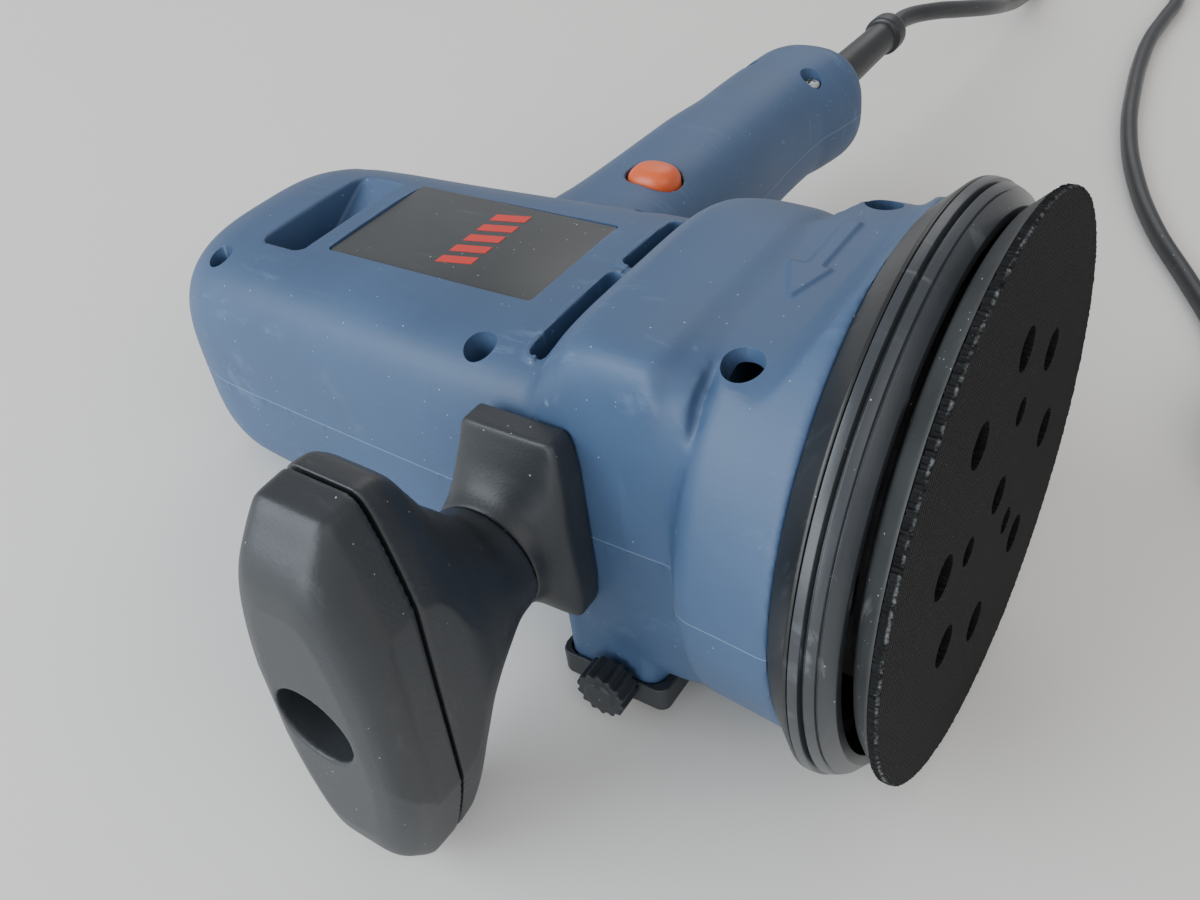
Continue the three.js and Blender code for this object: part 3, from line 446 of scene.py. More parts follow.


# the pale colour is used for rubs, the seam flash and the worn edges, where it also paints edge highlights
finishes = {
    "shell_blue": {
        "colour": (0.05, 0.093, 0.178), "wornAndHighlight": (0.2, 0.28, 0.42), "roughness": (0.46, 0.56), "mottle": 0.1,
        "grainScale": 1500, "grainDepth": 0.12, "grainStrength": 0.35, "specks": 0.00308, "rubs": 0.35, "edge": 0.4,
        "seam": 0.55,
    },
    "label_satin": {
        "colour": (0.042, 0.045, 0.046), "wornAndHighlight": (0.2, 0.2, 0.2), "roughness": (0.3, 0.4), "mottle": 0.15,
        "grainScale": 900, "grainDepth": 0.03, "grainStrength": 0.15, "specks": 0.0066, "rubs": 0.25, "edge": 0.2,
    },
    "screw_steel": {
        "colour": (0.42, 0.43, 0.44), "wornAndHighlight": (0.7, 0.7, 0.7), "roughness": (0.3, 0.5), "mottle": 0.12,
        "grainScale": 1800, "grainDepth": 0.03, "grainStrength": 0.2, "specks": 0.0, "rubs": 0.4, "edge": 0.5,
        "surface": {"Metallic": 1.0},
    },
    "bright_steel": {
        "colour": (0.5, 0.51, 0.52), "wornAndHighlight": (0.75, 0.75, 0.75), "roughness": (0.2, 0.35), "mottle": 0.08,
        "grainScale": 1200, "grainDepth": 0.02, "grainStrength": 0.15, "specks": 0.0, "rubs": 0.3, "edge": 0.4,
        "surface": {"Metallic": 1.0},
    },
    "grip_black": {
        "colour": (0.024, 0.027, 0.031), "wornAndHighlight": (0.12, 0.13, 0.14), "roughness": (0.38, 0.5), "mottle": 0.18,
        "grainScale": 1400, "grainDepth": 0.14, "grainStrength": 0.4, "specks": 0.00176, "rubs": 0.3, "edge": 0.35,
    },
    "flange_black": {
        "colour": (0.01, 0.011, 0.012), "wornAndHighlight": (0.14, 0.15, 0.16), "roughness": (0.3, 0.42), "mottle": 0.15,
        "grainScale": 1800, "grainDepth": 0.04, "grainStrength": 0.2, "specks": 0.00132, "rubs": 0.3, "edge": 0.3,
    },
    "bumper_rubber": {
        "colour": (0.034, 0.038, 0.043), "wornAndHighlight": (0.2, 0.21, 0.22), "roughness": (0.26, 0.36), "mottle": 0.2,
        "grainScale": 1500, "grainDepth": 0.06, "grainStrength": 0.3, "specks": 0.002, "rubs": 0.5, "edge": 0.3,
    },
    "pad_rubber": {
        "colour": (0.03, 0.032, 0.033), "wornAndHighlight": (0.16, 0.16, 0.16), "roughness": (0.5, 0.7), "mottle": 0.3,
        "grainScale": 1100, "grainDepth": 0.1, "grainStrength": 0.4, "specks": 0.011, "rubs": 0.6, "edge": 0.4,
    },
    "lamination_iron": {
        "colour": (0.16, 0.16, 0.17), "wornAndHighlight": (0.4, 0.4, 0.4), "roughness": (0.45, 0.6), "mottle": 0.15,
        "grainScale": 1500, "grainDepth": 0.05, "grainStrength": 0.3, "specks": 0.0, "rubs": 0.3, "edge": 0.3,
        "surface": {"Metallic": 0.9},
    },
    "winding_copper": {
        "colour": (0.5, 0.2, 0.08), "wornAndHighlight": (0.7, 0.4, 0.2), "roughness": (0.3, 0.45), "mottle": 0.15,
        "grainScale": 1500, "grainDepth": 0.15, "grainStrength": 0.5, "specks": 0.0, "rubs": 0.2, "edge": 0.3,
        "surface": {"Metallic": 0.9},
    },
    "pin_brass": {
        "colour": (0.62, 0.46, 0.2), "wornAndHighlight": (0.8, 0.68, 0.4), "roughness": (0.22, 0.36), "mottle": 0.1,
        "grainScale": 1500, "grainDepth": 0.02, "grainStrength": 0.15, "specks": 0.0, "rubs": 0.3, "edge": 0.3,
        "surface": {"Metallic": 1.0},
    },
    "brush_carbon": {
        "colour": (0.02, 0.02, 0.02), "wornAndHighlight": (0.08, 0.08, 0.08), "roughness": (0.6, 0.75), "mottle": 0.2,
        "grainScale": 2200, "grainDepth": 0.05, "grainStrength": 0.3, "specks": 0.0, "rubs": 0.2, "edge": 0.2,
    },
    "inner_nylon": {
        "colour": (0.03, 0.03, 0.032), "wornAndHighlight": (0.1, 0.1, 0.1), "roughness": (0.45, 0.6), "mottle": 0.15,
        "grainScale": 1500, "grainDepth": 0.08, "grainStrength": 0.3, "specks": 0.0044, "rubs": 0.3, "edge": 0.3,
    },
    "cast_aluminium": {
        "colour": (0.5, 0.51, 0.52), "wornAndHighlight": (0.75, 0.75, 0.75), "roughness": (0.4, 0.55), "mottle": 0.12,
        "grainScale": 900, "grainDepth": 0.12, "grainStrength": 0.4, "specks": 0.0, "rubs": 0.3, "edge": 0.4,
        "surface": {"Metallic": 1.0},
    },
    "button_orange": {
        "colour": (0.72, 0.115, 0.028), "wornAndHighlight": (0.85, 0.35, 0.18), "roughness": (0.3, 0.4), "mottle": 0.06,
        "grainScale": 1500, "grainDepth": 0.05, "grainStrength": 0.2, "specks": 0.00088, "rubs": 0.2, "edge": 0.3,
        "surface": {"Subsurface Weight": 0.08, "Subsurface Radius": (0.004, 0.001, 0.0005)},
    },
    "cord_black": {
        "colour": (0.015, 0.016, 0.018), "wornAndHighlight": (0.1, 0.11, 0.12), "roughness": (0.32, 0.44), "mottle": 0.15,
        "grainScale": 1400, "grainDepth": 0.06, "grainStrength": 0.25, "specks": 0.0022, "rubs": 0.3, "edge": 0.2,
    },
    "plug_black": {
        "colour": (0.017, 0.018, 0.019), "wornAndHighlight": (0.1, 0.1, 0.1), "roughness": (0.4, 0.5), "mottle": 0.15,
        "grainScale": 1500, "grainDepth": 0.1, "grainStrength": 0.35, "specks": 0.0022, "rubs": 0.3, "edge": 0.3,
    },
}

padAxis = {"y": 2.4, "z": 0.7}


# Hook-and-loop face: fine ribs crossed by a finer weave, fuzzy loops, and pale lint at the rim.
def makeHookFabric():
    look = {"colour": (0.004, 0.004, 0.0042), "thread": (0.011, 0.0115, 0.0115), "lint": (0.2, 0.21, 0.215),
            "ribScale": 270, "threadScale": 330}
    material, tree, shader = startMaterial("hook_fabric", {"Specular IOR Level": 0.22})
    place = toolPoint(tree)
    turned = addNode(tree, "ShaderNodeMapping", {"Vector": place, "Rotation": (0.32, 0, 0)}).outputs[0]
    ribs = addNode(tree, "ShaderNodeTexWave", {"Vector": turned, "Scale": look["ribScale"], "Distortion": 1.2,
                                               "Detail": 1, "Detail Scale": 1.5}, bands_direction="Y")
    threads = addNode(tree, "ShaderNodeTexWave", {"Vector": turned, "Scale": look["threadScale"], "Distortion": 1.6,
                                                  "Detail": 1, "Detail Scale": 1.5}, bands_direction="Z")
    loops = addNode(tree, "ShaderNodeTexNoise", {"Vector": place, "Scale": 2200, "Detail": 3})
    weave = calculate(tree, "MULTIPLY", ribs.outputs["Fac"], spread(tree, threads.outputs["Fac"], 0, 1, 0.35, 1))
    height = calculate(tree, "ADD", weave, calculate(tree, "MULTIPLY", loops.outputs["Fac"], 0.5))
    bump = addNode(tree, "ShaderNodeBump", {"Height": height, "Strength": 0.9, "Distance": 0.45 * mm})
    tree.links.new(bump.outputs[0], shader.inputs["Normal"])
    parts = addNode(tree, "ShaderNodeSeparateXYZ", {0: place})
    offY = calculate(tree, "SUBTRACT", parts.outputs[1], padAxis["y"] * mm)
    offZ = calculate(tree, "SUBTRACT", parts.outputs[2], padAxis["z"] * mm)
    radius = calculate(tree, "SQRT", calculate(tree, "ADD", calculate(tree, "MULTIPLY", offY, offY),
                                               calculate(tree, "MULTIPLY", offZ, offZ)))
    fuzz = addNode(tree, "ShaderNodeTexNoise", {"Vector": place, "Scale": 700, "Detail": 4, "Roughness": 0.7})
    edge = calculate(tree, "MULTIPLY", spread(tree, radius, 0.0610, 0.0613),
                     spread(tree, parts.outputs[0], -0.0007, -0.0004))
    rim = calculate(tree, "MULTIPLY", edge, spread(tree, fuzz.outputs["Fac"], 0.45, 0.62))
    colour = blendColour(tree, spread(tree, weave, 0.2, 0.9), opaque(look["colour"]), opaque(look["thread"]))
    colour = blendColour(tree, calculate(tree, "MULTIPLY", rim, 0.55), colour, opaque(look["lint"]))
    dust = placeGroup(tree, dustGroup, **{"Speck Scale": 2600, "Speck Share": 0.006})
    speckShare = calculate(tree, "MULTIPLY", dust.outputs["Specks"], 0.35)
    colour = blendColour(tree, speckShare, colour, opaque(look["lint"]))
    tree.links.new(colour, shader.inputs["Base Color"])
    tree.links.new(spread(tree, loops.outputs["Fac"], 0.3, 0.7, 0.7, 0.9), shader.inputs["Roughness"])
    return material


materials = {name: makeFinish(name, look) for name, look in finishes.items()}
materials["hook_fabric"] = makeHookFabric()
for part in frame["record"]["subparts"]:
    for holder in frame["nodes"][part["node"]].material_slots:
        holder.material = materials[part["material_slot"]]
print("materials made")

# Mains cord: out of the guard, down to the surface, round, and into a coil with the plug beside it.
cordShape = {
    "diameter": 0.0067, "length": 2.0,
    "route": [
        (-20.1, 174.8, 44.6), (-19.6, 188, 44.2), (-15, 205, 42), (-9, 226, 37.3), (-4.4, 250, 31),
        (-4.4, 282, 21.5), (-7, 316, 11.5), (-8.8, 350, 5), (-8.6, 384, 3.5), (-4.8, 403, 3.5), (7, 416.8, 3.5),
        (22.3, 421.5, 3.5), (37.6, 416.8, 3.5), (49.4, 403, 3.5), (53.5, 384, 3.5), (53.5, 358, 3.5),
        (53.5, 330, 3.5), (56, 303, 3.5), (60.5, 273, 3.5),
        (68, 236, 3.5), (80.3, 198, 3.5), (95.5, 166, 3.5), (114, 138, 3.5), (128, 115, 3.8), (137, 93, 4.7),
    ],
    "tail": [(227.3, 86, 11.4), (226.6, 100, 10.2), (224, 115, 8.9), (219.9, 130.6, 8.3)],
}
coil = {"x": 183.5, "y": 72.8, "low": 4.9, "outer": 43.8, "pitch": 6.85, "start": 180, "end": 2160,
        "inward": [(470, 530), (830, 890)], "climb": [(1130, 1180)], "outward": [(1445, 1495), (1805, 1855)]}


def passed(windows, turn):
    total = 0
    for start, end in windows:
        t = min(1, max(0, (turn - start) / (end - start)))
        total += t * t * (3 - 2 * t)
    return total


def coilPoints(step=22):
    points = []
    for turn in range(coil["start"], coil["end"] + 1, step):
        radius = coil["outer"] + coil["pitch"] * (passed(coil["outward"], turn) - passed(coil["inward"], turn))
        height = coil["low"] + coil["pitch"] * passed(coil["climb"], turn)
        angle = math.radians(turn)
        points.append((coil["x"] + radius * math.cos(angle), coil["y"] + radius * math.sin(angle), height))
    return points


cordData = bpy.data.curves.new("powerCord", "CURVE")
cordData.dimensions = "3D"
cordData.bevel_depth = cordShape["diameter"] / 2
cordData.bevel_resolution = 5
cordData.resolution_u = 6
cordData.use_fill_caps = True
cordPoints = cordShape["route"] + coilPoints() + cordShape["tail"]
cordLine = cordData.splines.new("BEZIER")
cordLine.bezier_points.add(len(cordPoints) - 1)
for knot, point in zip(cordLine.bezier_points, cordPoints):
    knot.co = Vector(point) * mm
    knot.handle_left_type = knot.handle_right_type = "AUTO"
powerCord = bpy.data.objects.new("powerCord", cordData)
scene.collection.objects.link(powerCord)
settle(powerCord, "housing", "cord_black", "cord_run", "cord_coil", "cord_tail", place=Matrix.Identity(4))

tie = {"x": 183.5, "near": 98.1, "far": 122.1, "high": 16.3, "halfWidth": 3.0, "thick": 0.8}


def makeTie():
    middle, top = (tie["near"] + tie["far"]) / 2, tie["high"]
    reach = (tie["far"] - tie["near"]) / 2
    outer = roundedRectangle(middle, (top + 0.2) / 2, reach, (top - 0.2) / 2, 4)
    inner = roundedRectangle(middle, (top + 0.2) / 2, reach - tie["thick"], (top - 0.2) / 2 - tie["thick"], 3.3)
    band = prism("coilTie", outer, "x", tie["x"] - tie["halfWidth"], tie["x"] + tie["halfWidth"])
    cutAway(band, prism("hole", inner, "x", tie["x"] - 5, tie["x"] + 5))
    tab = band.modifiers.new("edges", "BEVEL")
    tab.width, tab.segments = 0.2 * mm, 2
    return sharpen(applyModifiers(band))


coilTie = settle(makeTie(), "housing", "cord_black", "cord_tie", place=Matrix.Identity(4))

plug = {"x": 219.8, "y": 130.9, "z": 8.3, "heading": 106, "pinSpacing": 19, "pinRadius": 2.4}
plugPlace = (Matrix.Translation(Vector((plug["x"], plug["y"], plug["z"])) * mm)
             @ Matrix.Rotation(math.radians(plug["heading"]), 4, "Z"))
plugBody = loft("plugBody", "x", [
    (0.3, 0, 0, 4.4, 4.4, 2), (12, 0, 0, 5.0, 4.9, 2), (22, 0, 0, 6, 5.6, 2), (27, 0, 0, 10, 7.2, 2.5),
    (36, 0, 0, 14.6, 7.9, 3), (44, 0, 0, 16.6, 8, 3.4), (57, 0, 0, 17.6, 8, 3.8),
])
plugGrooves = [lathe("groove", [(at, 3.9), (at, 9), (at + 1.2, 9), (at + 1.2, 3.9), (at, 3.9)])
               for at in (5, 8.5, 12, 15.5)]
cutAway(plugBody, *plugGrooves)
soften(plugBody, 0.5, 3)
settle(plugBody, "housing", "plug_black", "plug_body", place=plugPlace)
for name, side in (("left", -1), ("right", 1)):
    radius = plug["pinRadius"]
    profile = [(57.3, 0), (57.3, radius), (74, radius), (75.5, radius - 0.5), (76, radius - 1.4), (76, 0)]
    pinCentre = (side * plug["pinSpacing"] / 2, 0)
    pin = lathe("plugPin" + name.capitalize(), roundProfile(profile, 0.8), "x", pinCentre, 40)
    settle(sharpen(pin), "housing", "pin_brass", "plug_pin_" + name, place=plugPlace)
print("cord laid:", len(cordPoints), "points")

# Housing: motor barrel, gear block, skirt and rear handle in one moulding, parted at z = 0.
housing = {
    "barrel": [
        (-205, 0, 0, 24, 21, 2.6, 0, 2.6, 3.5), (-203.6, 0, 0, 29, 25.5, 2.8, 0, 2.7, 3.6),
        (-200.5, 0, 0, 33.3, 29.5, 3.1, 0, 2.8, 3.7), (-195, 0, 0, 36.6, 32.2, 3.5, 0, 2.9, 3.8),
        (-186, 0, 0, 38.8, 33.6, 4, 0, 3, 3.9), (-163, 0, 0, 40.3, 34.3, 4.4, 0, 3, 3.9),
        (-113, 0, 0, 42.8, 34.4, 5, 0, 3.3, 4.2), (-93, 0, 0, 43.6, 34.6, 5.2, 0, 3.5, 4.5),
        (-84, 0, 0, 43.9, 34.9, 5.4, 0, 3.5, 4.7), (-81.9, 0, 0, 44, 35.3, 5.4, 0, 3.4, 4.8),
        (-78.5, 0, 0, 44.1, 39.4, 6, 0, 3.1, 5), (-74, 0, 0, 44.3, 43.8, 7, 0, 2.9, 5.2),
        (-69, 0, 0, 44.4, 46.4, 11, 0, 2.8, 5.4), (-60, 0, 0, 44.5, 47.5, 13, 0, 2.8, 5.5),
        (-52, 0, 0, 44.5, 47.2, 13, 0, 2.8, 5.5), (-47.5, 0, 0, 44.5, 46, 8, 0, 2.8, 5.5),
        (-44, 0, 0, 44.5, 45.1, 7, 0, 2.8, 5.5),
    ],
    "handle": [
        (22, -123, 1, 25, 25, 3), (44, -122.6, 1.6, 22, 21.8, 2.8), (60, -122.3, 2, 21.2, 20.8, 2.6),
        (100, -122, 2, 19.9, 20.6, 2.5), (125, -122, 2, 18.6, 19.2, 2.5), (142, -121.6, 2, 18.5, 19.2, 2.5),
        (151, -120.1, 2, 18.8, 19.4, 2.6), (160, -118.8, 2, 19.2, 19.6, 2.6), (166, -118, 2, 18.6, 18.8, 2.5),
        (170.5, -118, 1.5, 14, 14, 2.4),
    ],
    "crown": [(-48, 0, 0, 46.5, 45.4, 5), (-33, 0, 0, 46.5, 45.4, 5), (-20.5, 0, 0, 59.5, 58.2, 2.2)],
    "band": 45.4, "wall": 3, "voxel": 0.5, "fillet": 16, "softness": 2, "keep": 0.4, "lip": 0.7,
}
screwPlaces = [  # name, x, y, recess radius, floor height
    ("tail", -186, 27.4, 3.3, 19.5), ("middle", -98.6, 33.6, 3.7, 17), ("front", -38.3, 31.6, 4.1, 31),
]
handleScrewPlaces = [("pad_side", -109, 147), ("tail_side", -132, 149)]
vent = {"x": -170.6, "halfX": 7.5, "low": -21, "high": 18, "floor": 17}
fanSlots = [(-33.5, -1.8), (1.8, 25)]
handleAxis = (-119.5, 0)
lockButton = {"x": -116.5, "y": 64, "halfX": 7.3, "halfY": 6.3, "top": 25.0}
duct = {"x": -69.5, "y": -25.5, "halfX": 12.5, "halfY": 17.5, "foot": -48.2}


def buttonOutline(grow, corner):
    return roundedRectangle(lockButton["x"], lockButton["y"], lockButton["halfX"] + grow,
                            lockButton["halfY"] + grow, corner)


def ductOutline(grow, corner):
    return roundedRectangle(duct["x"], duct["y"], duct["halfX"] + grow, duct["halfY"] + grow, corner)


def makeSkirt(name, profile, depth):
    crown = loft("crown", "x", housing["crown"], grow=-depth)
    joinOn(crown, box(-48, -20.5, -70, 70, depth - 36, 36 - depth))
    return combine(lathe(name, profile, segments=240), "INTERSECT", [crown])


def slotOutline(low, high, grow=0.0):
    return roundedRectangle(-84.1, (low + high) / 2, 2.3 + grow, (high - low) / 2 + grow, 1.9 + grow)


# A lip that follows the barrel's surface round an opening.
def makeLip(outline):
    lip = prism("lip", outline, "z", 20, 60)
    skin = loft("skin", "x", [row for row in housing["barrel"] if row[0] < -82], grow=housing["lip"])
    return combine(lip, "INTERSECT", [skin])


def makeHousing():
    shell = loft("housingShell", "x", housing["barrel"])
    skirtProfile = [(-48, 0), (-48, 46), (-42.6, 54.4), (-40.2, 55.8), (-30, 56.6), (-21.7, 57.4), (-21.7, 0)]
    ductBlock = prism("duct", ductOutline(0, 4), "z", duct["foot"], -20)
    joinOn(shell, loft("handle", "y", housing["handle"]),
           makeSkirt("skirt", roundProfile(skirtProfile, 1.2), 0), ductBlock)
    # broad fillets where the handle and the skirt grow out of the barrel
    remesh = shell.modifiers.new("remesh", "REMESH")
    remesh.mode, remesh.voxel_size = "VOXEL", 1.0 * mm
    applyModifiers(shell)
    points = np.zeros(len(shell.data.vertices) * 3)
    shell.data.vertices.foreach_get("co", points)
    x, y, z = points.reshape(-1, 3).T / mm
    root = np.clip(1 - np.abs(y - 46) / 11, 0, 1) * ((np.abs(x + 122) < 36) & (np.abs(z) < 33))
    step = np.clip(1 - np.abs(x + 46.5) / 4, 0, 1) * np.where(z > 43, 0.15, 0.35)
    weight = np.maximum(root, step)
    group = shell.vertex_groups.new(name="fillet")
    for i in np.nonzero(weight > 0.02)[0]:
        group.add([int(i)], float(weight[i]), "REPLACE")
    smooth = shell.modifiers.new("fillet", "SMOOTH")
    smooth.factor, smooth.iterations, smooth.vertex_group = 0.5, housing["fillet"], "fillet"
    applyModifiers(shell)
    print("housing body:", len(shell.data.vertices), "points")

    lips = [makeLip(slotOutline(low, high, 1.3)) for low, high in fanSlots]
    ventOutline = roundedRectangle(vent["x"], (vent["low"] + vent["high"]) / 2, vent["halfX"],
                                   (vent["high"] - vent["low"]) / 2, 3.5)
    arrow = [(-38.3, 19.5), (-38.3, 0.6), (-36.2, 0.6), (-39.4, -11), (-44.9, 0.8), (-41.2, 0.8), (-41.2, 19.5)]
    joinOn(shell, *lips, prism("arrow", arrow, "z", housing["band"] - 2, housing["band"] + 0.6))
    cutters = [prism("slot", slotOutline(low, high), "z", 18, 60) for low, high in fanSlots]
    ventCut = prism("vent", ventOutline, "z", vent["floor"], 60)
    ramp = prism("ramp", [(19, 33.5), (20, 10), (3, 10), (3, 24)], "x", -190, -150)
    cutters.append(cutAway(ventCut, ramp))
    cutters += [box(-109.5, -86, 49.4, 82.6, -6.4, 6.4), box(-116, -108, 46.8, 85.2, -8.6, 8.6)]
    cutters.append(prism("button", buttonOutline(0.45, 6), "z", 9, 60))
    cutters.append(prism("button", buttonOutline(3, 6), "z", 8, 14.6))
    cutters.append(rod(150, 190, 7, "y", handleAxis))
    cutters.append(rod(-60, -42, 3.5, "y", (-84, 0)))
    cutters.append(prism("mouth", ductOutline(-3, 3), "z", -80, -30))
    inside = [(-43, 0), (-43, 48), (-40, 51.4), (-20, 54), (-20, 0)]
    cutters.append(makeSkirt("inside", inside, housing["wall"]))
    cutAway(shell, *cutters)
    soften(shell, housing["voxel"], housing["softness"], housing["keep"])
    crisp = [prism("label", roundedRectangle(-127, 0, 30.4, 18, 1.4), "z", 32.4, 60)]
    for _, x, y, radius, floor in screwPlaces:
        crisp += [rod(floor, 80, radius, "z", (x, side * y)) for side in (-1, 1)]
    crisp += [rod(13, 60, 3.3, "z", (x, y)) for _, x, y in handleScrewPlaces]
    cutAway(shell, *crisp)
    sharpen(shell, 48)
    partHalves(shell)
    print("housing finished:", len(shell.data.vertices), "points")
    return shell


# A hair of flash stands proud along the parting plane.
def partHalves(shell):
    flash = {"half": 0.13, "height": 0.07}
    mesh = bmesh.new()
    mesh.from_mesh(shell.data)
    for level in (-flash["half"], 0, flash["half"]):
        near = [face for face in mesh.faces if min(abs(v.co.z) for v in face.verts) < 2 * mm]
        parts = near + list({e for f in near for e in f.edges}) + list({v for f in near for v in f.verts})
        bmesh.ops.bisect_plane(mesh, geom=parts, dist=1e-8, plane_co=(0, 0, level * mm), plane_no=(0, 0, 1))
    mesh.normal_update()
    line = [v for v in mesh.verts if abs(v.co.z) < 1e-7]
    moves = [v.normal * flash["height"] * mm for v in line]
    for v, move in zip(line, moves):
        v.co += move
    mesh.to_mesh(shell.data)
    mesh.free()


housingShell = settle(makeHousing(), "housing", "shell_blue", "upper_shell", "lower_shell")

labelPlate = prism("labelPlate", roundedRectangle(-127, 0, 30, 17.6, 1), "z", 32.7, 33.85)
edges = labelPlate.modifiers.new("edges", "BEVEL")
edges.width, edges.segments = 0.25 * mm, 3
settle(sharpen(applyModifiers(labelPlate)), "housing", "label_satin", "label_plate")

markRed = startMaterial("mark_red", {"Roughness": 0.35})
redGrain = placeGroup(markRed[1], grainGroup)
redTone = blendColour(markRed[1], redGrain.outputs["Cloud"], opaque((0.5, 0.02, 0.015)),
                      opaque((0.68, 0.04, 0.03)))
markRed[1].links.new(redTone, markRed[2].inputs["Base Color"])
mark = {"bars": 5, "pitch": 5.2, "width": 3.0, "x": (-128.5, -119.5), "slant": 2.2}
for i in range(mark["bars"]):
    y = (i - (mark["bars"] - 1) / 2) * mark["pitch"]
    low, high = mark["x"]
    half = mark["width"] / 2
    outline = [(low, y - half), (high, y - half + mark["slant"]), (high, y + half + mark["slant"]), (low, y + half)]
    bar = sharpen(prism(f"labelBar{i + 1}", outline, "z", 33.8, 33.93))
    settle(bar, "housing", "label_satin")
    bar.data.materials[0] = markRed[0]


# Screws: domed pan heads with a cross recess.
def makeScrew(name, x, y, floor, headRadius, length):
    top = floor + 2.7
    profile = [(top, 0), (top - 0.15, headRadius * 0.5), (top - 0.8, headRadius), (top - 2.4, headRadius),
               (top - 2.4, 1.6), (top - length, 1.6), (top - length, 0)]
    body = lathe(name, roundProfile(profile, 0.5), "z", (x, y), 48)
    long, thin = headRadius * 0.62, 0.42
    cutAway(body, box(x - long, x + long, y - thin, y + thin, top - 1.5, top + 1),
            box(x - thin, x + thin, y - long, y + long, top - 1.5, top + 1))
    return sharpen(body)


for place, x, y, radius, floor in screwPlaces:
    for sideName, side in (("left", -1), ("right", 1)):
        node = f"housing_screw_{place}_{sideName}"
        body = makeScrew(f"screw{place.capitalize()}{sideName.capitalize()}", x, side * y, floor, radius - 0.5, 12)
        settle(body, "housing", "screw_steel", node)
for place, x, y in handleScrewPlaces:
    body = makeScrew("handleScrew" + place.title().replace("_", ""), x, y, 14.6, 2.9, 12)
    settle(body, "housing", "screw_steel", "handle_screw_" + place)

# Skirt trim
flangeProfile = [
    (-21.6, 54.2), (-21.6, 57.3), (-20.9, 58.0), (-16.1, 62.6), (-15.4, 62.6), (-15.4, 56), (-17, 54.2),
    (-21.6, 54.2),
]
skirtFlange = lathe("skirtFlange", roundProfile(flangeProfile, 0.25), segments=256)
settle(sharpen(skirtFlange), "housing", "flange_black", "skirt_flange")
bumperProfile = [
    (-15.2, 56), (-15.2, 62.7), (-13.4, 62.5), (-13.2, 60.7), (-12.6, 60.7), (-12.4, 62.0), (-10.75, 61.3),
    (-10.6, 60.6), (-10.35, 60.6), (-10.2, 61.0), (-7.9, 58.2), (-7.9, 56), (-15.2, 56),
]
bumperRing = lathe("bumperRing", roundProfile(bumperProfile, 0.16), segments=256)
settle(sharpen(bumperRing), "housing", "bumper_rubber", "bumper_ring")

# Pad: rubber cushion and hook face on the orbiting axis.
padHoles = [  # count, radius, circle, first angle
    (8, 4.75, 32.5, -10), (3, 3.25, 17.5, 62), (1, 4.25, 0, 0),
]


def holeCutters(low, high, widen=0.0):
    cutters = []
    for count, radius, circle, first in padHoles:
        for i in range(count):
            turn = math.radians(first + 360 * i / count)
            centre = (padAxis["y"] + circle * math.cos(turn), padAxis["z"] + circle * math.sin(turn))
            cutters.append(rod(low, high, radius + widen, "x", centre, 48))
    return cutters


padCentre = (padAxis["y"], padAxis["z"])
cushionProfile = [
    (-8.5, 0), (-8.5, 51.5), (-7.4, 53.6), (-7.0, 55.6), (-6.2, 57.3), (-2.9, 60.5), (-2.2, 60.8), (-2.2, 0),
]
padCushion = lathe("padCushion", roundProfile(cushionProfile, 0.6), "x", padCentre, 256)
cutAway(padCushion, *holeCutters(-12, 1))
settle(sharpen(padCushion), "pad", "pad_rubber", "pad_cushion")


def makeHookFace():
    radii = [0, 12, 24, 36, 48, 56, 60, 60.8, 61.2]
    rim = [(-1.85, 61.4), (-0.5, 61.45), (-0.1, 61.3)]
    profile = [(-1.9, r) for r in radii] + rim + [(0, r) for r in reversed(radii)]
    face = cutAway(lathe("hookFace", profile, "x", padCentre, 720), *holeCutters(-5, 4, -0.15))
    ragged = np.random.RandomState(7)
    for vertex in face.data.vertices:
        y, z = vertex.co.y / mm - padAxis["y"], vertex.co.z / mm - padAxis["z"]
        radius = math.hypot(y, z)
        if radius > 61:  # the loops at the rim stand out like small teeth
            tooth = 0.16 * math.cos(math.atan2(z, y) * 360)
            push = (tooth + ragged.uniform(-0.16, 0.08)) / radius
            vertex.co.y += y * push * mm
            vertex.co.z += z * push * mm
            vertex.co.x += ragged.uniform(-0.12, 0.1) * mm
    return sharpen(face, 50)


settle(makeHookFace(), "pad", "hook_fabric", "hook_face")
print("pad made")

# Front grip: saddle, two arms in one sweep, and a crowned cap.
neck = {"x": -84, "z": 0, "recess": 9.1, "lean": 2.2}
gripSaddle = loft("gripSaddle", "y", [
    (-44.9, -80.3, 4.4, 13.2, 23.8, 14, 0.12), (-50.2, -80.3, 4.4, 13.2, 23.8, 14, 0.12),
    (-50.8, -80.3, 4.4, 13.1, 23.5, 10, 0.12), (-51.8, -80.7, 3.8, 13.1, 21.6, 6, 0.08),
    (-54, -82, 2.4, 13.1, 17.4, 3.3), (-57, -83.2, 1.4, 13.1, 14.4, 2.3), (-60, -83.6, 1, 13.1, 13.1, 2),
], spacing=0.6)
settle(soften(gripSaddle, 0.45, 2), "housing", "grip_black", "grip_saddle")
gripBody = loft("gripBody", "y", [
    (-60.4, -83.6, 1.2, 13.2, 13.2, 2), (-64, -83.6, 1, 13.2, 14.4, 2, 0.05), (-70, -83.6, 0.5, 13.5, 22, 2.3, 0.2),
    (-76, -83.7, 0, 14.2, 30.4, 3, 0.32), (-81, -83.9, 0, 15.5, 39.6, 5, 0.42), (-84.6, -84, 0, 16.5, 45.6, 8, 0.45),
    (-87.5, -84, 0, 17.0, 47.6, 10, 0.46), (-91.6, -84, 0, 17.2, 48.2, 11, 0.47),
], spacing=0.8)
cutAway(gripBody, rod(-120, -40, 3.6, "y", (neck["x"], neck["z"])),
        rod(-120, -90.8, 9, "y", (neck["x"] - 1.5, neck["z"])))
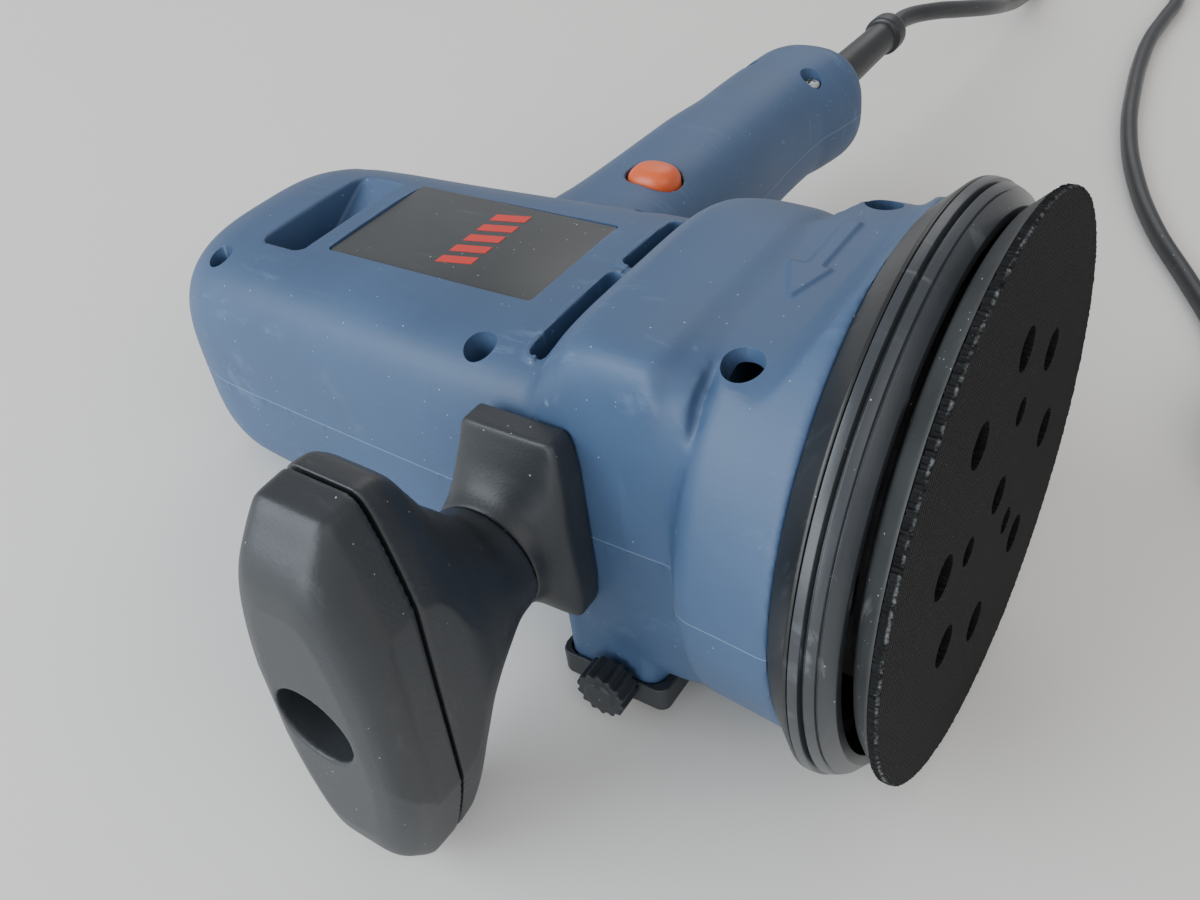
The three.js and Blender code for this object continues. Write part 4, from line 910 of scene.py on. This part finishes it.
gripCap = loft("gripCap", "y", [
    (-92.5, -84, 0, 17.2, 48.2, 11, 0.47), (-99, -84, 0, 17.1, 47.8, 11, 0.47), (-100, -84, 0, 17, 47.2, 10, 0.47),
    (-103, -84, 0, 16.5, 43.8, 8.5, 0.45), (-106, -84.2, 0, 15, 39.8, 7, 0.42), (-107.5, -84.4, 0, 13, 36, 6, 0.38),
    (-108.3, -84.6, 0, 10, 31, 5, 0.3),
], spacing=0.8)
cutAway(gripCap, rod(-120, -80, neck["recess"], "y", (neck["x"] - 1.8, neck["z"] + 0.3), 72))
leanTurn = Matrix.Rotation(math.radians(neck["lean"]), 4, "Y")
lean = Matrix.Translation((neck["x"] * mm, 0, 0)) @ leanTurn @ Matrix.Translation((-neck["x"] * mm, 0, 0))
for grip, node in ((gripBody, "grip_body"), (gripCap, "grip_cap")):
    soften(grip, 0.5, 2, 0.6)
    grip.data.transform(lean)
    settle(grip, "front_grip", "grip_black", node)

# Controls
triggerBody = loft("trigger", "x", [
    (-108.6, 66, 0, 15.8, 5.9, 6), (-97, 66, 0, 15.4, 5.8, 5), (-95.3, 66, 0, 14.6, 5.3, 4.4),
    (-94.4, 66, 0, 13, 4.4, 3.6),
], spacing=0.8)
joinOn(triggerBody, box(-111.6, -108.4, 47.8, 84.2, -7.8, 7.8))
settle(soften(triggerBody, 0.4, 3), "trigger", "grip_black", "trigger")
buttonSections = [(12.6, 0), (20.8, 0), (22.4, 0.4), (23.8, 1.5), (24.7, 3.2), (25, 5.2)]
buttonRows = [(at, 0, 0, lockButton["halfX"] - inset, lockButton["halfY"] - inset, 2.4)
              for at, inset in buttonSections]
lockBody = loft("lockButton", "y", buttonRows, spacing=0.5)
buttonPlace = Matrix.Translation((lockButton["x"] * mm, lockButton["y"] * mm, 0))
lockBody.data.transform(buttonPlace @ Matrix.Rotation(math.pi / 2, 4, "X"))
joinOn(lockBody, prism("flange", buttonOutline(1.2, 5), "z", 11.9, 13.3))
settle(soften(lockBody, 0.35, 4), "lock_button", "button_orange", "lock_button")

guardProfile = [
    (129, 0), (129, 4.8), (160.6, 4.8), (160.6, 8.4), (163.8, 8.4), (163.8, 6.6), (173, 6.6), (231, 5.6),
    (231.6, 7.1), (237.6, 7.1), (240, 6), (240, 0),
]
cordGuard = lathe("cordGuard", roundProfile(guardProfile, 1.1), "y", handleAxis, 96)
settle(sharpen(cordGuard), "housing", "cord_black", "cord_guard")

# Dust outlet
collarOutline = roundedRectangle(duct["x"] + 0.5, duct["y"], duct["halfX"] + 1.8, duct["halfY"] + 1.2, 2.5)
collarBlock = prism("dustCollar", collarOutline, "z", -50.3, -43.4)
cutAway(
    collarBlock,
    prism("mouth", ductOutline(-3, 3), "z", -70, -40),
    prism("seat", ductOutline(0.3, 4), "z", -48.5, -20),
    loft("block", "x", housing["barrel"], grow=0.3),
)
settle(soften(collarBlock, 0.35, 2), "housing", "grip_black", "dust_collar")
knob = {"x": -67.5, "z": -43.6, "ribs": 14, "inner": 5.5, "outer": 6.4}
knobOutline = []
for i in range(knob["ribs"] * 4):
    radius = knob["outer"] if i % 4 in (1, 2) else knob["inner"]
    turn = 2 * math.pi * (i + 0.5) / (knob["ribs"] * 4)
    knobOutline.append((knob["x"] + radius * math.cos(turn), knob["z"] + radius * math.sin(turn)))
dustKnob = prism("dustKnob", knobOutline, "y", -51.3, -44.7)
joinOn(dustKnob, rod(-51.9, -50, 3.6, "y", (knob["x"], knob["z"])))
settle(soften(dustKnob, 0.3, 2), "dust_knob", "grip_black", "dust_knob")
print("grip and controls made")

# Studio: a plain pale floor and soft light.
studio = {"floor": (0.78, 0.755, 0.715), "world": (0.95, 0.96, 1.0), "worldStrength": 0.55, "floorReach": 4}
floorMesh = bpy.data.meshes.new("floor")
reach = studio["floorReach"]
corners = [(-reach, -reach, 0), (reach, -reach, 0), (reach, reach, 0), (-reach, reach, 0)]
floorMesh.from_pydata(corners, [], [(0, 1, 2, 3)])
floor = bpy.data.objects.new("floor", floorMesh)
scene.collection.objects.link(floor)
floorMaterial, floorTree, floorShader = startMaterial("floorPaper", {"Roughness": 0.85})
floorGrain = placeGroup(floorTree, grainGroup, **{"Grain Scale": 900, "Cloud Scale": 3})
floorTones = [opaque([c * share for c in studio["floor"]]) for share in (0.97, 1.03)]
floorColour = blendColour(floorTree, floorGrain.outputs["Cloud"], *floorTones)
floorTree.links.new(floorColour, floorShader.inputs["Base Color"])
floorMesh.materials.append(floorMaterial)

world = bpy.data.worlds.new("studio")
world.use_nodes = True
world.node_tree.nodes["Background"].inputs[0].default_value = opaque(studio["world"])
world.node_tree.nodes["Background"].inputs[1].default_value = studio["worldStrength"]
scene.world = world
lights = [  # name, position, size, power, colour
    ("window", (-1.0, -1.3, 0.95), 1.5, 34, (0.84, 0.93, 1.0)),
    ("front", (0.0, -1.7, 0.3), 1.1, 17, (0.86, 0.94, 1.0)),
    ("back", (-0.6, 1.4, 1.3), 1.4, 7, (1.0, 0.98, 0.95)),
    ("fill", (1.2, -0.5, 1.2), 1.6, 8, (1.0, 0.97, 0.93)),
]
for name, position, size, power, colour in lights:
    lightData = bpy.data.lights.new(name, "AREA")
    lightData.shape = "DISK"
    lightData.size, lightData.energy, lightData.color = size, power, colour
    light = bpy.data.objects.new(name, lightData)
    scene.collection.objects.link(light)
    light.location = position
    light.rotation_euler = (Vector((0, 0, 0.05)) - light.location).to_track_quat("-Z", "Y").to_euler()
print("studio lit")
